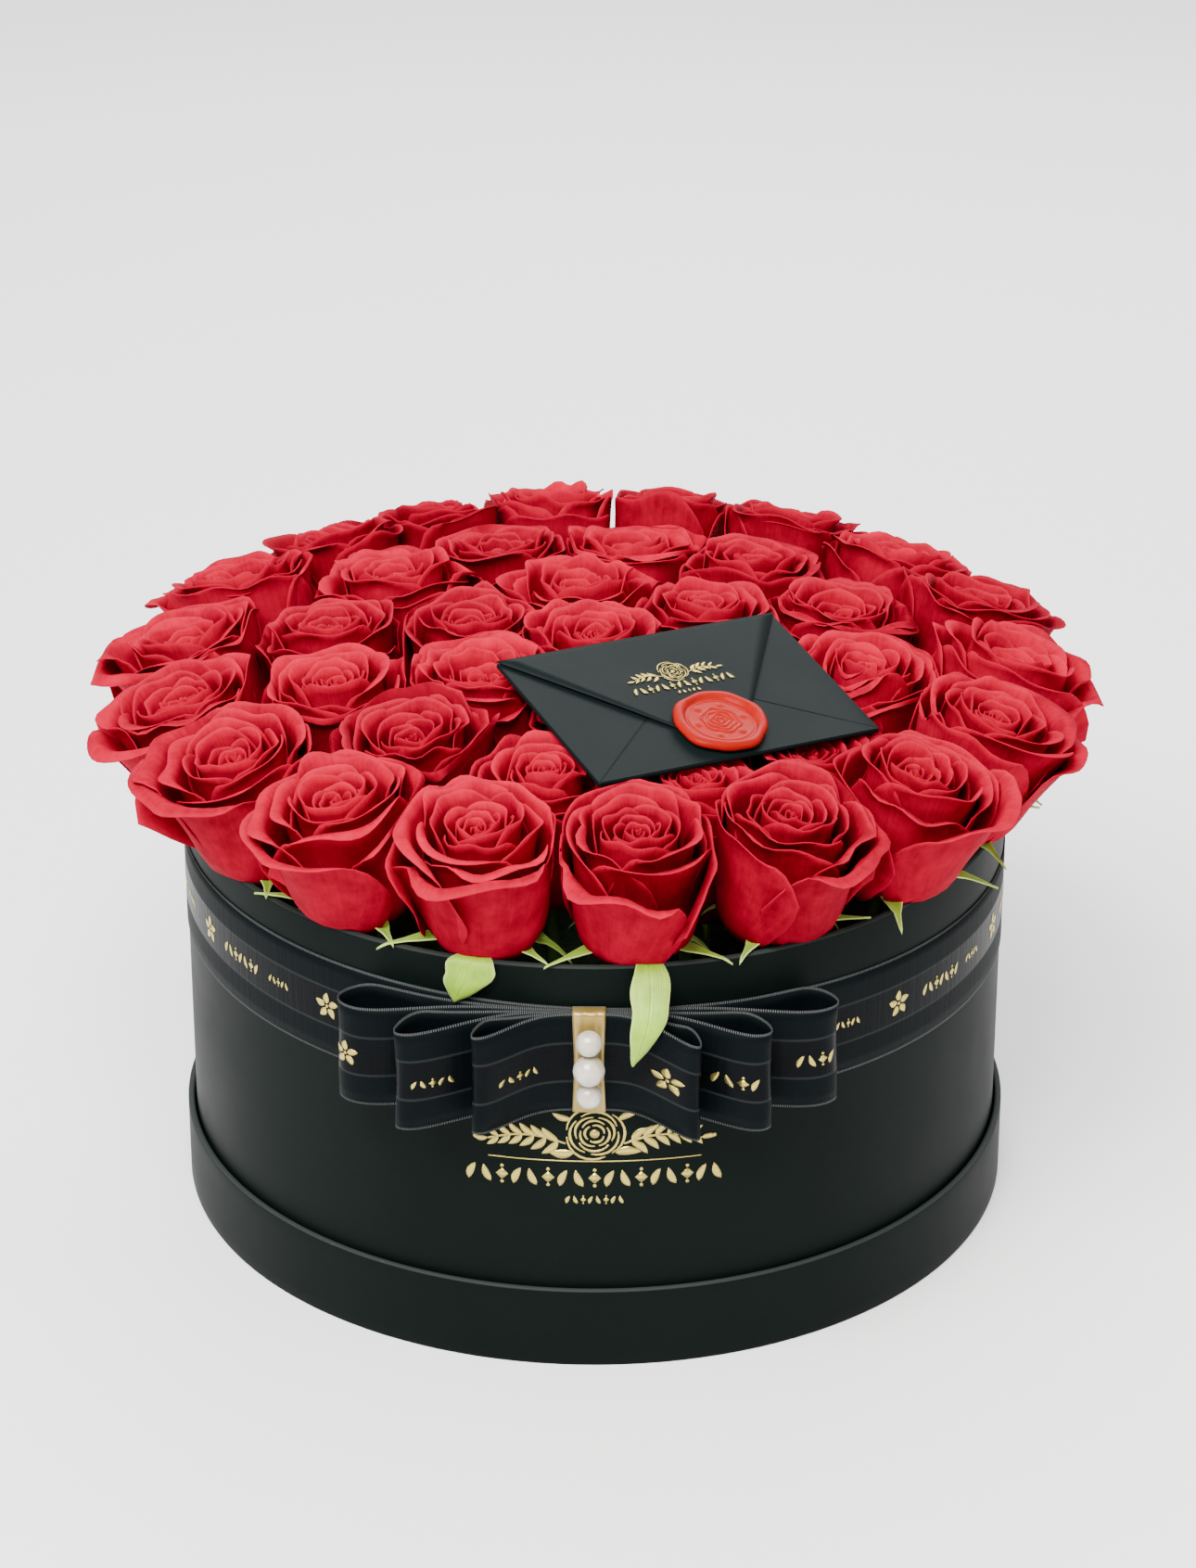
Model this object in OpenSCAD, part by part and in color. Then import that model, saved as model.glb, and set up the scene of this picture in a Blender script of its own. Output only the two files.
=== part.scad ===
// Round flower box: a wrapped board drum standing in its upturned lid, tied with a
// ribbon and bow, filled with roses in wet foam, and topped with a sealed envelope.

/* [Box] */
// Outer diameter of the box over its paper
box_d = 300; // [250:5:340]
// Height of the box without its lid
box_h = 153; // [125:1:190]
// Thickness of the box's wall and floor board
box_board_t = 2.2; // [1.5:0.1:3]
// How far the covering paper is turned in below the box's rim
box_turn_in = 25; // [10:1:40]
// Thickness of the covering paper
paper_t = 0.4; // [0.3:0.05:0.6]

/* [Lid] */
// Height of the lid that the box stands in
lid_h = 30.4; // [20:0.2:45]
// Thickness of the lid's wall board
lid_board_t = 1.8; // [1.2:0.1:3]
// Thickness of the lid's round top board
lid_disc_t = 2.5; // [1.5:0.1:4]
// Clearance all round between the box and the lid
lid_fit = 0.6; // [0.4:0.1:2]
// How far the covering paper is turned in at the lid's rim
lid_turn_in = 15; // [8:1:18]

/* [Ribbon and bow] */
// Width of the ribbon
ribbon_w = 37.4; // [25:0.2:45]
// Thickness of the ribbon
ribbon_t = 0.5; // [0.3:0.1:0.8]
// Plain band of box left between the rim and the ribbon
ribbon_drop = 15; // [10:0.5:25]
// Slant of the ribbon round the box, in degrees
ribbon_slant = 1.5; // [0:0.1:2.5]
// Reach of the longest pair of loops to each side
long_reach = 80; // [70:1:90]
// Reach of the middle pair of loops
mid_reach = 56; // [50:1:60]
// Reach of the shortest pair of loops
short_reach = 34; // [30:1:37]
// Half thickness of a long loop at its full end
long_puff = 9.4; // [7:0.2:11]
// Half thickness of a middle loop at its full end
mid_puff = 9; // [7:0.2:11]
// Half thickness of a short loop at its full end
short_puff = 7; // [5:0.2:8]
// Width of the gold band that pinches the bow
clasp_w = 10.6; // [8:0.2:14]
// Diameter of the middle pearl
pearl_d = 10.8; // [8:0.2:13]
// Diameter of the two outer pearls
small_pearl_d = 9; // [6:0.2:11]

/* [Insert] */
// Wall and floor of the waterproof liner
liner_t = 1.2; // [0.8:0.1:2]
// Height of the liner
liner_h = 90; // [70:1:100]
// Clearance between the liner and the turned-in paper
liner_fit = 0.7; // [0.5:0.1:2]
// Height of the foam bricks
foam_h = 82; // [60:1:90]
// Gap from the foam to the liner and between the bricks
foam_gap = 0.5; // [0.3:0.1:2]
// Width of the middle foam brick
brick_w = 110; // [80:1:120]
// Diameter of a stem
stem_d = 5.5; // [4:0.1:7]
// Clearance round a stem in its foam hole
stem_fit = 0.1; // [0.05:0.05:0.5]
// Depth of a stem in the foam
stem_depth = 42; // [25:1:55]

/* [Roses] */
// Full diameter of a rose head
bloom_d = 45.6; // [40:0.2:56]
// Height of a rose head
bloom_h = 45; // [38:0.5:50]
// Least gap left between neighbouring heads
bloom_gap = 5.4; // [4:0.2:9]
// Height of the green cup under a head
calyx_h = 7; // [5:0.5:10]
// How far the tops of the outer heads stand inside the box's wall
outer_inset = 2; // [0:0.5:10]
// Shift of the bouquet towards the back
bouquet_shift = 8; // [0:0.5:9]
// Height of the outer heads' undersides above the rim
bloom_lift = 3; // [2.5:0.5:6]
// Extra height of the innermost head over the outer ring
dome = 11; // [0:0.5:16]
// Outward lean of the outer ring, in degrees
outer_lean = 14.5; // [0:0.5:18]

/* [Envelope] */
// Length of the envelope
env_l = 116; // [90:1:130]
// Width of the envelope
env_w = 74; // [60:1:90]
// Thickness of the closed envelope without its flap
env_t = 2; // [1.8:0.1:3]
// Thickness of the envelope's paper
env_paper_t = 0.4; // [0.3:0.05:0.5]
// Thickness of the card inside
card_t = 0.8; // [0.4:0.1:0.9]
// Diameter of the wax seal
seal_d = 34; // [24:1:40]
// Thickness of the wax seal
seal_t = 3.2; // [2:0.1:5]

/* [Hidden] */
$fn = 96;

glue = 0.05;                    // film between a board and what is stuck to it
box_r = box_d / 2;
box_base_z = lid_disc_t;        // the box stands on the lid's board
rim_z = box_base_z + box_h;
box_board_r = box_r - paper_t - glue;
box_inner_r = box_board_r - box_board_t;
box_floor_z = box_base_z + box_board_t;

lid_inner_r = box_r + lid_fit;  // face of the lid's turned-in paper
lid_board_inner_r = lid_inner_r + paper_t + glue;
lid_board_r = lid_board_inner_r + lid_board_t;
lid_r = lid_board_r + glue + paper_t;
paper_foot = 0.3;               // the papers stop this far above the face below them

ribbon_z = rim_z - ribbon_drop - ribbon_w / 2;
ribbon_in_r = box_r + glue;
ribbon_out_r = ribbon_in_r + ribbon_t;
bow_turn = -0.7;                // the bow sits just left of the front
bow_gap = 0.65;                 // from the ribbon's face to the loops behind the clasp
pinch_s = 0.6;                  // where a loop starts, along the wall from the clasp's middle
full_at = 0.9;                  // share of a loop's length where it is fullest
hollow_from = 0.42;             // share of a loop's length where its hollow starts
loop_steps = 44;
layer = 2 * ribbon_t;           // a pinched loop is two layers of ribbon
long_back = ribbon_t + glue + bow_gap;
layer_gap = 0.1;
mid_back = long_back + layer + layer_gap;
short_back = mid_back + layer + layer_gap;
mid_rise = 8.5;                 // how far a middle loop climbs over the long one
short_rise = 8.7;               // and a short loop over the middle one
clasp_face = short_back + layer + 0.7;
clasp_t = 0.5;
clasp_fit = 0.1;
pearl_seat = 0.8;               // share of a pearl's radius left behind its middle
pearl_gap = 0.1;

liner_r = box_inner_r - glue - paper_t - liner_fit;
foam_r = liner_r - liner_t - foam_gap;
foam_z = box_floor_z + liner_t;
foam_top_z = foam_z + foam_h;

bloom_r = bloom_d / 2;
bloom_foot_r = 5;               // radius of a head where it leaves its calyx
calyx_r = bloom_foot_r + 0.4;   // radius of a calyx where it holds its head
foot_limit_r = box_inner_r - glue - paper_t - calyx_r - 0.8;
rose_pitch = bloom_d + bloom_gap;
outer_top_r = box_r - outer_inset;
ring_count = floor(outer_top_r / (0.96 * rose_pitch));
ring_names = ["outer", "middle", "inner", "inmost"];
sway = 7;                       // degrees by which the front heads spread apart
first_angle = -84;

env_at = [33, -43, 206.5 + rim_z - 155.5];
env_turn = [13.5, 3.4, 31];
env_fit = 0.4;                  // air under and round the envelope
press_margin = 14;              // inner heads this near to the envelope are pressed down
press_gap = 2;
flap_gap = 0.3;
flap_reach = 0.93;              // share of the envelope's width that the flap covers
card_play = 1.5;
seal_at = -19.5;                // the wax lies this far in front of the envelope's middle

function ring_r(k) = outer_top_r * (1 - k / ring_count);
function ring_n(k) = floor(2 * PI * ring_r(k) / rose_pitch);
function ring_lean(k) = outer_lean * pow(1 - k / ring_count, 1.5);
function ring_lift(k) = dome * pow(k / ring_count, 0.8);
function two(n) = str(n < 9 ? "0" : "", n + 1);
function rose_name(k, i) = str("rose_", ring_names[k], "_", two(i));

// Angle of head i of ring k: the rings are staggered, and the front heads stand wider apart
function rose_angle(k, i) =
    let (even = first_angle + (i + k / 2) * 360 / ring_n(k))
    even + sway * sin(even - first_angle) * ring_r(k) / outer_top_r;

// Height of the plane of the envelope's underside over a point
function env_under(x, y) =
    let (a = env_turn[0], b = env_turn[1], c = env_turn[2],
         nx = sin(b) * cos(a) * cos(c) + sin(a) * sin(c),
         ny = sin(b) * cos(a) * sin(c) - sin(a) * cos(c),
         nz = cos(b) * cos(a))
    env_at[2] - (nx * (x - env_at[0]) + ny * (y - env_at[1])) / nz - env_t / 2 - env_fit;

function under_envelope(x, y) =
    let (dx = x - env_at[0], dy = y - env_at[1], c = env_turn[2])
    abs(dx * cos(c) + dy * sin(c)) < env_l / 2 + press_margin
    && abs(dy * cos(c) - dx * sin(c)) < env_w / 2 + press_margin;

// A head's place: [angle, lean, radius of its foot, height of its foot]
// The foot stays inside the rim, so a head whose top stands further out leans more
function rose_place(k, i) =
    let (turn = k == ring_count ? 0 : rose_angle(k, i),
         top_r = ring_r(k) + bouquet_shift * sin(turn) * ring_r(k) / outer_top_r,
         foot_r = min(top_r - bloom_h * sin(ring_lean(k)), foot_limit_r),
         lean = asin((top_r - foot_r) / bloom_h),
         free_z = rim_z + bloom_lift + ring_lift(k) + bloom_h * cos(lean),
         x = top_r * cos(turn),
         y = top_r * sin(turn),
         pressed = k > 0 && under_envelope(x, y),
         top_z = pressed ? min(free_z, env_under(x, y) - press_gap) : free_z)
    [turn, lean, foot_r, top_z - bloom_h * cos(lean)];

places = [
    for (k = [0:ring_count - 1]) for (i = [0:ring_n(k) - 1]) rose_place(k, i),
    rose_place(ring_count, 0)
];
rose_names = [
    for (k = [0:ring_count - 1]) for (i = [0:ring_n(k) - 1]) rose_name(k, i),
    "rose_centre"
];

hanging_sepals = [[0, 14.5], [ring_n(0) - 1, 18]];   // [outer head, width of its sepal]
sepal_t = 0.8;
sepal_drop = 13;
sepal_fit = 0.35;

black_paper = [0.07, 0.09, 0.09];
black_ribbon = [0.05, 0.06, 0.07];
grey_board = [0.55, 0.53, 0.5];
gold = [0.8, 0.68, 0.38];
rose_red = [0.8, 0.08, 0.12];
leaf_green = [0.6, 0.72, 0.3];

module tube(outer, inner, z0, z1) {
    translate([0, 0, z0])
        rotate_extrude()
            translate([inner, 0])
                square([outer - inner, z1 - z0]);
}

// Paper over a board wall: down the outside, over the edge and turned in
module wrap(outer, board_outer, board_inner, z0, z1, turn_in) {
    inner = board_inner - glue;
    rotate_extrude()
        polygon([
            [board_outer + glue, z0], [outer, z0], [outer, z1],
            [inner - paper_t, z1], [inner - paper_t, z1 - turn_in],
            [inner, z1 - turn_in], [inner, z1 - paper_t], [board_outer + glue, z1 - paper_t]
        ]);
}

module lid_disc() {
    color(black_paper) cylinder(r = lid_board_r, h = lid_disc_t);
}

module lid_rim() {
    color(grey_board) tube(lid_board_r, lid_board_inner_r, lid_disc_t, lid_h - paper_t);
}

module lid_wrap_paper() {
    color(black_paper)
        wrap(lid_r, lid_board_r, lid_board_inner_r, paper_foot, lid_h, lid_turn_in);
}

module box_base() {
    color(grey_board) translate([0, 0, box_base_z]) cylinder(r = box_board_r, h = box_board_t);
}

module box_tube() {
    color(grey_board) tube(box_board_r, box_inner_r, box_floor_z, rim_z - paper_t);
}

module box_wrap_paper() {
    color(black_paper)
        wrap(box_r, box_board_r, box_inner_r, box_base_z + paper_foot, rim_z, box_turn_in);
}

module ribbon_band() {
    color(black_ribbon)
        intersection() {
            tube(ribbon_out_r, ribbon_in_r, ribbon_z - ribbon_w, ribbon_z + ribbon_w);
            translate([0, 0, ribbon_z])
                rotate([0, ribbon_slant, 0])
                    cube([3 * box_r, 3 * box_r, ribbon_w], center = true);
        }
}

// How full a loop is at a share of its length, from 0 to 1
function fullness(share) = 2 * sqrt(share * (1 - share)) * pow(share, 4) / 0.394;

// The middle of a loop's ribbon at a turn u of its sweep: [along the wall, out from the wall]
function loop_mid(reach, back, rise, puff, u) =
    let (share = (1 - cos(u)) / 2,
         full = fullness(share),
         half = (puff - ribbon_t) * full + ribbon_t / 2 * (1 - share),
         out = share < full_at ? full : 1)
    [pinch_s + (reach - ribbon_t / 2 - pinch_s) * share,
     back + rise * share * share + ribbon_t + (puff - ribbon_t) * out + (u < 180 ? half : -half)];

// A point off the middle of a loop's ribbon, bent round the box
function loop_point(side, reach, back, rise, puff, u, off) =
    let (mid = loop_mid(reach, back, rise, puff, u),
         run = loop_mid(reach, back, rise, puff, u + 0.5) - loop_mid(reach, back, rise, puff, u - 0.5),
         at = mid + off * [-run[1], run[0]] / norm(run),
         turn = bow_turn + side * at[0] / box_r * 180 / PI)
    [(box_r + at[1]) * sin(turn), -(box_r + at[1]) * cos(turn)];

module bow_loop(side, reach, back, rise, puff) {
    step = 360 / loop_steps;
    turns = [for (i = [0:loop_steps - 1]) (i + 0.5) * step];
    open_turns = [for (u = turns) if (1 - cos(u) > 2 * hollow_from) u];
    color(black_ribbon)
        translate([0, 0, ribbon_z - ribbon_w / 2])
            linear_extrude(ribbon_w)
                difference() {
                    polygon([for (u = turns)
                        loop_point(side, reach, back, rise, puff, u, ribbon_t / 2)]);
                    polygon([for (u = open_turns)
                        loop_point(side, reach, back, rise, puff, u, -ribbon_t / 2)]);
                }
}

// A flat C: a face in front of the pinched loops and a lip over and under them
module bow_clasp() {
    lip_z = ribbon_w / 2 + clasp_fit;
    lip_y = box_r + ribbon_t + glue + 0.2;
    face_y = box_r + clasp_face;
    color(gold)
        translate([0, 0, ribbon_z])
            rotate([0, 0, bow_turn]) {
                difference() {
                    translate([-clasp_w / 2, -face_y - clasp_t, -lip_z - clasp_t])
                        cube([clasp_w, face_y + clasp_t - lip_y, 2 * (lip_z + clasp_t)]);
                    translate([-clasp_w, -face_y, -lip_z])
                        cube([2 * clasp_w, clasp_face, 2 * lip_z]);
                }
            }
}

// A pearl with a flat where it is stuck to the clasp
module pearl(d, z) {
    low = -asin(pearl_seat);
    face_y = -(box_r + clasp_face + clasp_t);
    translate([0, face_y - pearl_seat * d / 2, z])
        rotate([90, 0, 0])
            rotate_extrude()
                polygon(concat(
                    [[0, -pearl_seat * d / 2]],
                    [for (i = [0:14]) let (a = low + (90 - low) * i / 14) d / 2 * [cos(a), sin(a)]]));
}

module pearls() {
    step = (pearl_d + small_pearl_d) / 2 + pearl_gap;
    color("ivory")
        translate([0, 0, ribbon_z])
            rotate([0, 0, bow_turn]) {
                pearl(pearl_d, 0);
                for (side = [-1, 1]) pearl(small_pearl_d, side * step);
            }
}

module liner_tray() {
    color([0.12, 0.12, 0.12])
        translate([0, 0, box_floor_z])
            rotate_extrude()
                polygon([
                    [0, 0], [liner_r, 0], [liner_r, liner_h], [liner_r - liner_t, liner_h],
                    [liner_r - liner_t, liner_t], [0, liner_t]
                ]);
}

// Puts its children at a head's foot, with +Z along the head's own axis
module at_rose(place) {
    rotate([0, 0, place[0]])
        translate([place[2], 0, place[3]])
            rotate([0, place[1], 0])
                children();
}

// A stem from below the calyx down to its depth in the foam
module stem(place, extra) {
    run = (place[3] - foam_top_z + stem_depth) / cos(place[1]);
    at_rose(place)
        translate([0, 0, -run])
            cylinder(d = stem_d + 2 * extra, h = run - calyx_h);
}

module foam_bricks() {
    side_w = foam_r - brick_w / 2 - foam_gap;
    color([0.2, 0.42, 0.24])
        difference() {
            intersection() {
                translate([0, 0, foam_z]) cylinder(r = foam_r, h = foam_h);
                union() {
                    translate([-brick_w / 2, -foam_r, 0]) cube([brick_w, 2 * foam_r, rim_z]);
                    for (side = [-1, 1])
                        translate([side * (foam_r - side_w / 2), 0, rim_z / 2])
                            cube([side_w, 2 * foam_r, rim_z], center = true);
                }
            }
            for (place = places) stem(place, stem_fit);
        }
}

module stems() {
    color(leaf_green) for (place = places) stem(place, 0);
}

module calyx() {
    translate([0, 0, -calyx_h])
        rotate_extrude()
            polygon([
                [0, 0], [stem_d / 2 + 0.3, 0], [bloom_foot_r - 0.6, calyx_h * 0.4],
                [calyx_r, calyx_h], [0, calyx_h]
            ]);
}

// A sepal that runs out over the rim and hangs down in front of the wall
module hanging_sepal(place, w) {
    low = rim_z + sepal_fit;
    near = box_r + sepal_fit;
    neck = 0.4 * w;
    rotate([0, 0, place[0]])
        intersection() {
            rotate([90, 0, 0])
                linear_extrude(w, center = true)
                    polygon([
                        [place[2], low], [near, low], [near, rim_z - sepal_drop],
                        [near + sepal_t, rim_z - sepal_drop], [near + sepal_t, low + sepal_t],
                        [place[2], low + sepal_t]
                    ]);
            union() {
                translate([0, -neck / 2, low]) cube([near, neck, sepal_t]);
                rotate([90, 0, 90])
                    translate([0, 0, near - 8])
                        linear_extrude(12)
                            polygon([
                                [-neck / 2, low + sepal_t], [neck / 2, low + sepal_t],
                                [w / 2, low - 3], [w / 2 - 2, low - 9],
                                [0, low - sepal_drop - 1], [2 - w / 2, low - 9], [-w / 2, low - 3]
                            ]);
            }
        }
}

module sepals() {
    color(leaf_green) {
        for (place = places) at_rose(place) calyx();
        for (leaf = hanging_sepals) hanging_sepal(places[leaf[0]], leaf[1]);
    }
}

// The room over and round the envelope, open upwards so that it lifts straight out
module envelope_room() {
    intersection() {
        translate([env_at[0], env_at[1], 0])
            rotate([0, 0, env_turn[2]])
                translate([-env_l / 2 - 1, -env_w / 2 - 1, 0])
                    cube([env_l + 2, env_w + 2, 2 * rim_z]);
        translate(env_at)
            rotate(env_turn)
                translate([-env_l, -env_l, -env_t / 2 - env_fit])
                    cube([2 * env_l, 2 * env_l, rim_z]);
    }
}

// A head as a plain full bud, with its widest part above the middle
module bloom() {
    steps = 9;
    bulge = [for (i = [1:steps]) let (t = i / steps)
        [bloom_foot_r + (bloom_r - bloom_foot_r) * pow(sin(90 * min(1, t * 1.12)), 0.62),
         (bloom_h - 5) * t]];
    rotate_extrude()
        polygon(concat([[0, 0], [bloom_foot_r, 0]], bulge, [[bloom_r * 0.8, bloom_h], [0, bloom_h]]));
}

module rose(place) {
    color(rose_red)
        difference() {
            at_rose(place) bloom();
            envelope_room();
        }
}

// Puts its children in the envelope's own frame: X along it, Y towards its hinge
module in_envelope() {
    translate(env_at) rotate(env_turn) children();
}

module envelope_pocket() {
    hollow = env_t - 2 * env_paper_t;
    color(black_paper)
        in_envelope()
            difference() {
                cube([env_l, env_w, env_t], center = true);
                translate([-env_l / 2 + env_paper_t, -env_w / 2 + env_paper_t, -hollow / 2])
                    cube([env_l - 2 * env_paper_t, env_w, hollow]);
            }
}

module note_card() {
    color("ivory")
        in_envelope()
            translate([0, -card_play / 2, 0])
                cube([env_l - 2 * env_paper_t - card_play,
                      env_w - env_paper_t - card_play - 2, card_t], center = true);
}

module envelope_flap() {
    tip = env_w / 2 - flap_reach * env_w;
    color(black_paper)
        in_envelope()
            translate([0, 0, env_t / 2 + flap_gap])
                linear_extrude(env_paper_t)
                    polygon([
                        [-env_l / 2 + 1, env_w / 2], [-env_l / 2 + 1, env_w / 2 - 1],
                        [-4, tip + 4], [-1.5, tip + 0.5], [1.5, tip + 0.5], [4, tip + 4],
                        [env_l / 2 - 1, env_w / 2 - 1], [env_l / 2 - 1, env_w / 2]
                    ]);
}

module wax_seal() {
    lip_w = 4;
    color([0.85, 0.18, 0.16])
        in_envelope()
            translate([1, seal_at, env_t / 2 + flap_gap + env_paper_t])
                difference() {
                    cylinder(d = seal_d, h = seal_t);
                    translate([0, 0, seal_t * 0.6]) cylinder(d = seal_d - 2 * lip_w, h = seal_t);
                }
}

lid_disc();
lid_rim();
lid_wrap_paper();
box_base();
box_tube();
box_wrap_paper();
ribbon_band();
for (side = [-1, 1]) {
    hand = side < 0 ? "left" : "right";
    bow_loop(side, long_reach, long_back, 0, long_puff);
    bow_loop(side, mid_reach, mid_back, mid_rise, mid_puff);
    bow_loop(side, short_reach, short_back, short_rise, short_puff);
}
bow_clasp();
pearls();
liner_tray();
foam_bricks();
stems();
sepals();
envelope_pocket();
envelope_flap();
wax_seal();
note_card();
for (i = [0:len(places) - 1])
    rose(places[i]);
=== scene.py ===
import random
from math import acos, atan2, cos, degrees, exp, hypot, pi, radians, sin, sqrt, tan, tau

import bmesh
import bpy
from mathutils import Euler, Matrix, Vector


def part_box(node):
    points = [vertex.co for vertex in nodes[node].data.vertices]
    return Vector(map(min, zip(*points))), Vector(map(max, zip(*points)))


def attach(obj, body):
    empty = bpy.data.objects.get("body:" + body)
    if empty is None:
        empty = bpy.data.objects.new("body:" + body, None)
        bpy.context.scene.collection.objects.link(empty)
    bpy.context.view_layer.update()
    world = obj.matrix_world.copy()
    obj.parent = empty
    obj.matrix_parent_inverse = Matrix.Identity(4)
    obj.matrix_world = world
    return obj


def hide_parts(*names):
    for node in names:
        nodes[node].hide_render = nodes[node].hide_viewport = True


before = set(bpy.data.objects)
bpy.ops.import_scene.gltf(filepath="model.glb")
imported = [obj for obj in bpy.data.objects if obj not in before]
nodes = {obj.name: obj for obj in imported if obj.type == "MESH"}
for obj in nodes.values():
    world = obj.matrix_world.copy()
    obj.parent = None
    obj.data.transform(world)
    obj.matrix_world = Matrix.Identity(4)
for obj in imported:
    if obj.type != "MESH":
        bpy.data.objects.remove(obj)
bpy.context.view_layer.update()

# All shapes below are worked in millimetres and scaled when a piece is built
mm = 0.001

# The box and its lid: outer and inner radii, feet and rims, the paper turned in over each rim, the seam
shell = {"boxR": 150.0, "boxFoot": 2.8, "rimZ": 155.5, "lidR": 153.2, "lidTop": 30.4,
         "lidFoot": 0.3, "paper": 0.35, "rimRound": 1.0, "boxInside": 146.95, "boxTurnIn": 25,
         "lidInside": 150.65, "lidTurnIn": 15, "seam": 0.28, "seamWidth": 7}

print("flower box: camera and light")

viewpoint = {"place": (0.0, -1.455, 0.846), "pitch": 25.49, "lens": 101.02, "shift": 0.0021}

camData = bpy.data.cameras.new("camera")
camData.lens = viewpoint["lens"]
camData.shift_x = viewpoint["shift"]
camera = bpy.data.objects.new("camera", camData)
camera.location = viewpoint["place"]
camera.rotation_euler = (radians(90 - viewpoint["pitch"]), 0, 0)
bpy.context.collection.objects.link(camera)
bpy.context.scene.camera = camera


def softBox(name, place, size, power, colour):
    data = bpy.data.lights.new(name, "AREA")
    data.shape = "RECTANGLE"
    data.size = size[0]
    data.size_y = size[1]
    data.energy = power
    data.color = colour
    lamp = bpy.data.objects.new(name, data)
    lamp.location = place
    aim = Vector((0, 0, 0.13)) - Vector(place)
    lamp.rotation_euler = aim.to_track_quat("-Z", "Y").to_euler()
    lamp.visible_camera = False
    bpy.context.collection.objects.link(lamp)


softBox("topLight", (-0.35, -1.0, 1.55), (1.1, 0.9), 82, (1.0, 0.98, 0.96))
softBox("leftLight", (-1.5, -0.5, 0.66), (0.5, 0.8), 7, (0.6, 0.86, 1.0))
softBox("rightLight", (1.5, -0.7, 0.66), (0.6, 0.8), 5, (0.94, 1.0, 0.95))
softBox("backLight", (0.2, 1.3, 1.2), (1.4, 0.7), 26, (1.0, 1.0, 1.0))

world = bpy.data.worlds.new("studio")
world.use_nodes = True
world.node_tree.nodes["Background"].inputs["Color"].default_value = (1.0, 1.0, 1.0, 1)
world.node_tree.nodes["Background"].inputs["Strength"].default_value = 1.2
bpy.context.scene.world = world


# Small helpers for materials

def newFinish(name, **settings):
    mat = bpy.data.materials.new(name)
    mat.use_nodes = True
    shader = mat.node_tree.nodes["Principled BSDF"]
    for key, value in settings.items():
        shader.inputs[key.replace("_", " ")].default_value = value
    return mat


def addNode(mat, kind, sockets=None, **settings):
    made = mat.node_tree.nodes.new(kind)
    for key, value in settings.items():
        setattr(made, key, value)
    for key, value in (sockets or {}).items():
        if isinstance(value, bpy.types.NodeSocket):
            mat.node_tree.links.new(value, made.inputs[key])
        else:
            made.inputs[key].default_value = value
    return made


def coords(mat, uv=None, scale=(1, 1, 1)):
    if uv:
        source = addNode(mat, "ShaderNodeUVMap", uv_map=uv).outputs["UV"]
    else:
        source = addNode(mat, "ShaderNodeTexCoord").outputs["Object"]
    return addNode(mat, "ShaderNodeMapping", {"Vector": source, "Scale": scale}).outputs[0]


def noise(mat, where, scale=1.0, detail=3.0, rough=0.55, twist=0.0):
    sockets = {"Vector": where, "Scale": scale, "Detail": detail, "Roughness": rough, "Distortion": twist}
    return addNode(mat, "ShaderNodeTexNoise", sockets).outputs[0]


def ramp(mat, fac, *stops):
    made = addNode(mat, "ShaderNodeValToRGB", {"Fac": fac})
    band = made.color_ramp
    while len(band.elements) < len(stops):
        band.elements.new(0.5)
    for stop, (place, value) in zip(band.elements, stops):
        stop.position = place
        stop.color = (value, value, value, 1) if isinstance(value, (int, float)) else (*value, 1)
    return made.outputs["Color"]


def spread(mat, value, low, high, start=0.0, end=1.0):
    sockets = {"Value": value, "From Min": low, "From Max": high, "To Min": start, "To Max": end}
    return addNode(mat, "ShaderNodeMapRange", sockets).outputs[0]


def mathOf(mat, kind, a, b=0.0):
    return addNode(mat, "ShaderNodeMath", {0: a, 1: b}, operation=kind).outputs[0]


def times(mat, a, b):
    return mathOf(mat, "MULTIPLY", a, b)


def plus(mat, a, b):
    return mathOf(mat, "ADD", a, b)


def minus(mat, a, b):
    return mathOf(mat, "SUBTRACT", a, b)


def fromMiddle(mat, value):
    return mathOf(mat, "ABSOLUTE", minus(mat, value, 0.5))


def mixed(mat, fac, a, b):
    made = addNode(mat, "ShaderNodeMix", data_type="RGBA")
    # sockets 6 and 7 are the two colours
    for index, value in ((0, fac), (6, a), (7, b)):
        if isinstance(value, bpy.types.NodeSocket):
            mat.node_tree.links.new(value, made.inputs[index])
        else:
            made.inputs[index].default_value = value if index == 0 else (*value, 1)
    return made.outputs[2]


def axisOf(mat, where, axis):
    return addNode(mat, "ShaderNodeSeparateXYZ", {0: where}).outputs[axis]


def finish(mat, colour=None, rough=None, height=None, depth=0.1, strength=1.0):
    shader = mat.node_tree.nodes["Principled BSDF"]
    links = mat.node_tree.links
    if colour:
        links.new(colour, shader.inputs["Base Color"])
    if rough:
        links.new(rough, shader.inputs["Roughness"])
    if height:
        sockets = {"Height": height, "Strength": strength, "Distance": depth * mm}
        links.new(addNode(mat, "ShaderNodeBump", sockets).outputs[0], shader.inputs["Normal"])
    return mat


# Small helpers for shapes

def buildPiece(name, bm, mats, body, replaced=(), sharpAngle=40):
    bmesh.ops.scale(bm, vec=(mm, mm, mm), verts=bm.verts)
    for face in bm.faces:
        face.smooth = True
    for edge in bm.edges:
        if edge.is_manifold and edge.calc_face_angle(0) > radians(sharpAngle):
            edge.smooth = False
    mesh = bpy.data.meshes.new(name)
    bm.to_mesh(mesh)
    bm.free()
    for mat in mats:
        mesh.materials.append(mat)
    piece = bpy.data.objects.new(name, mesh)
    bpy.context.collection.objects.link(piece)
    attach(piece, body)
    if replaced:
        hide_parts(*replaced)
    return piece


def newShape():
    bm = bmesh.new()
    bm.loops.layers.uv.new("UVMap")
    return bm


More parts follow.
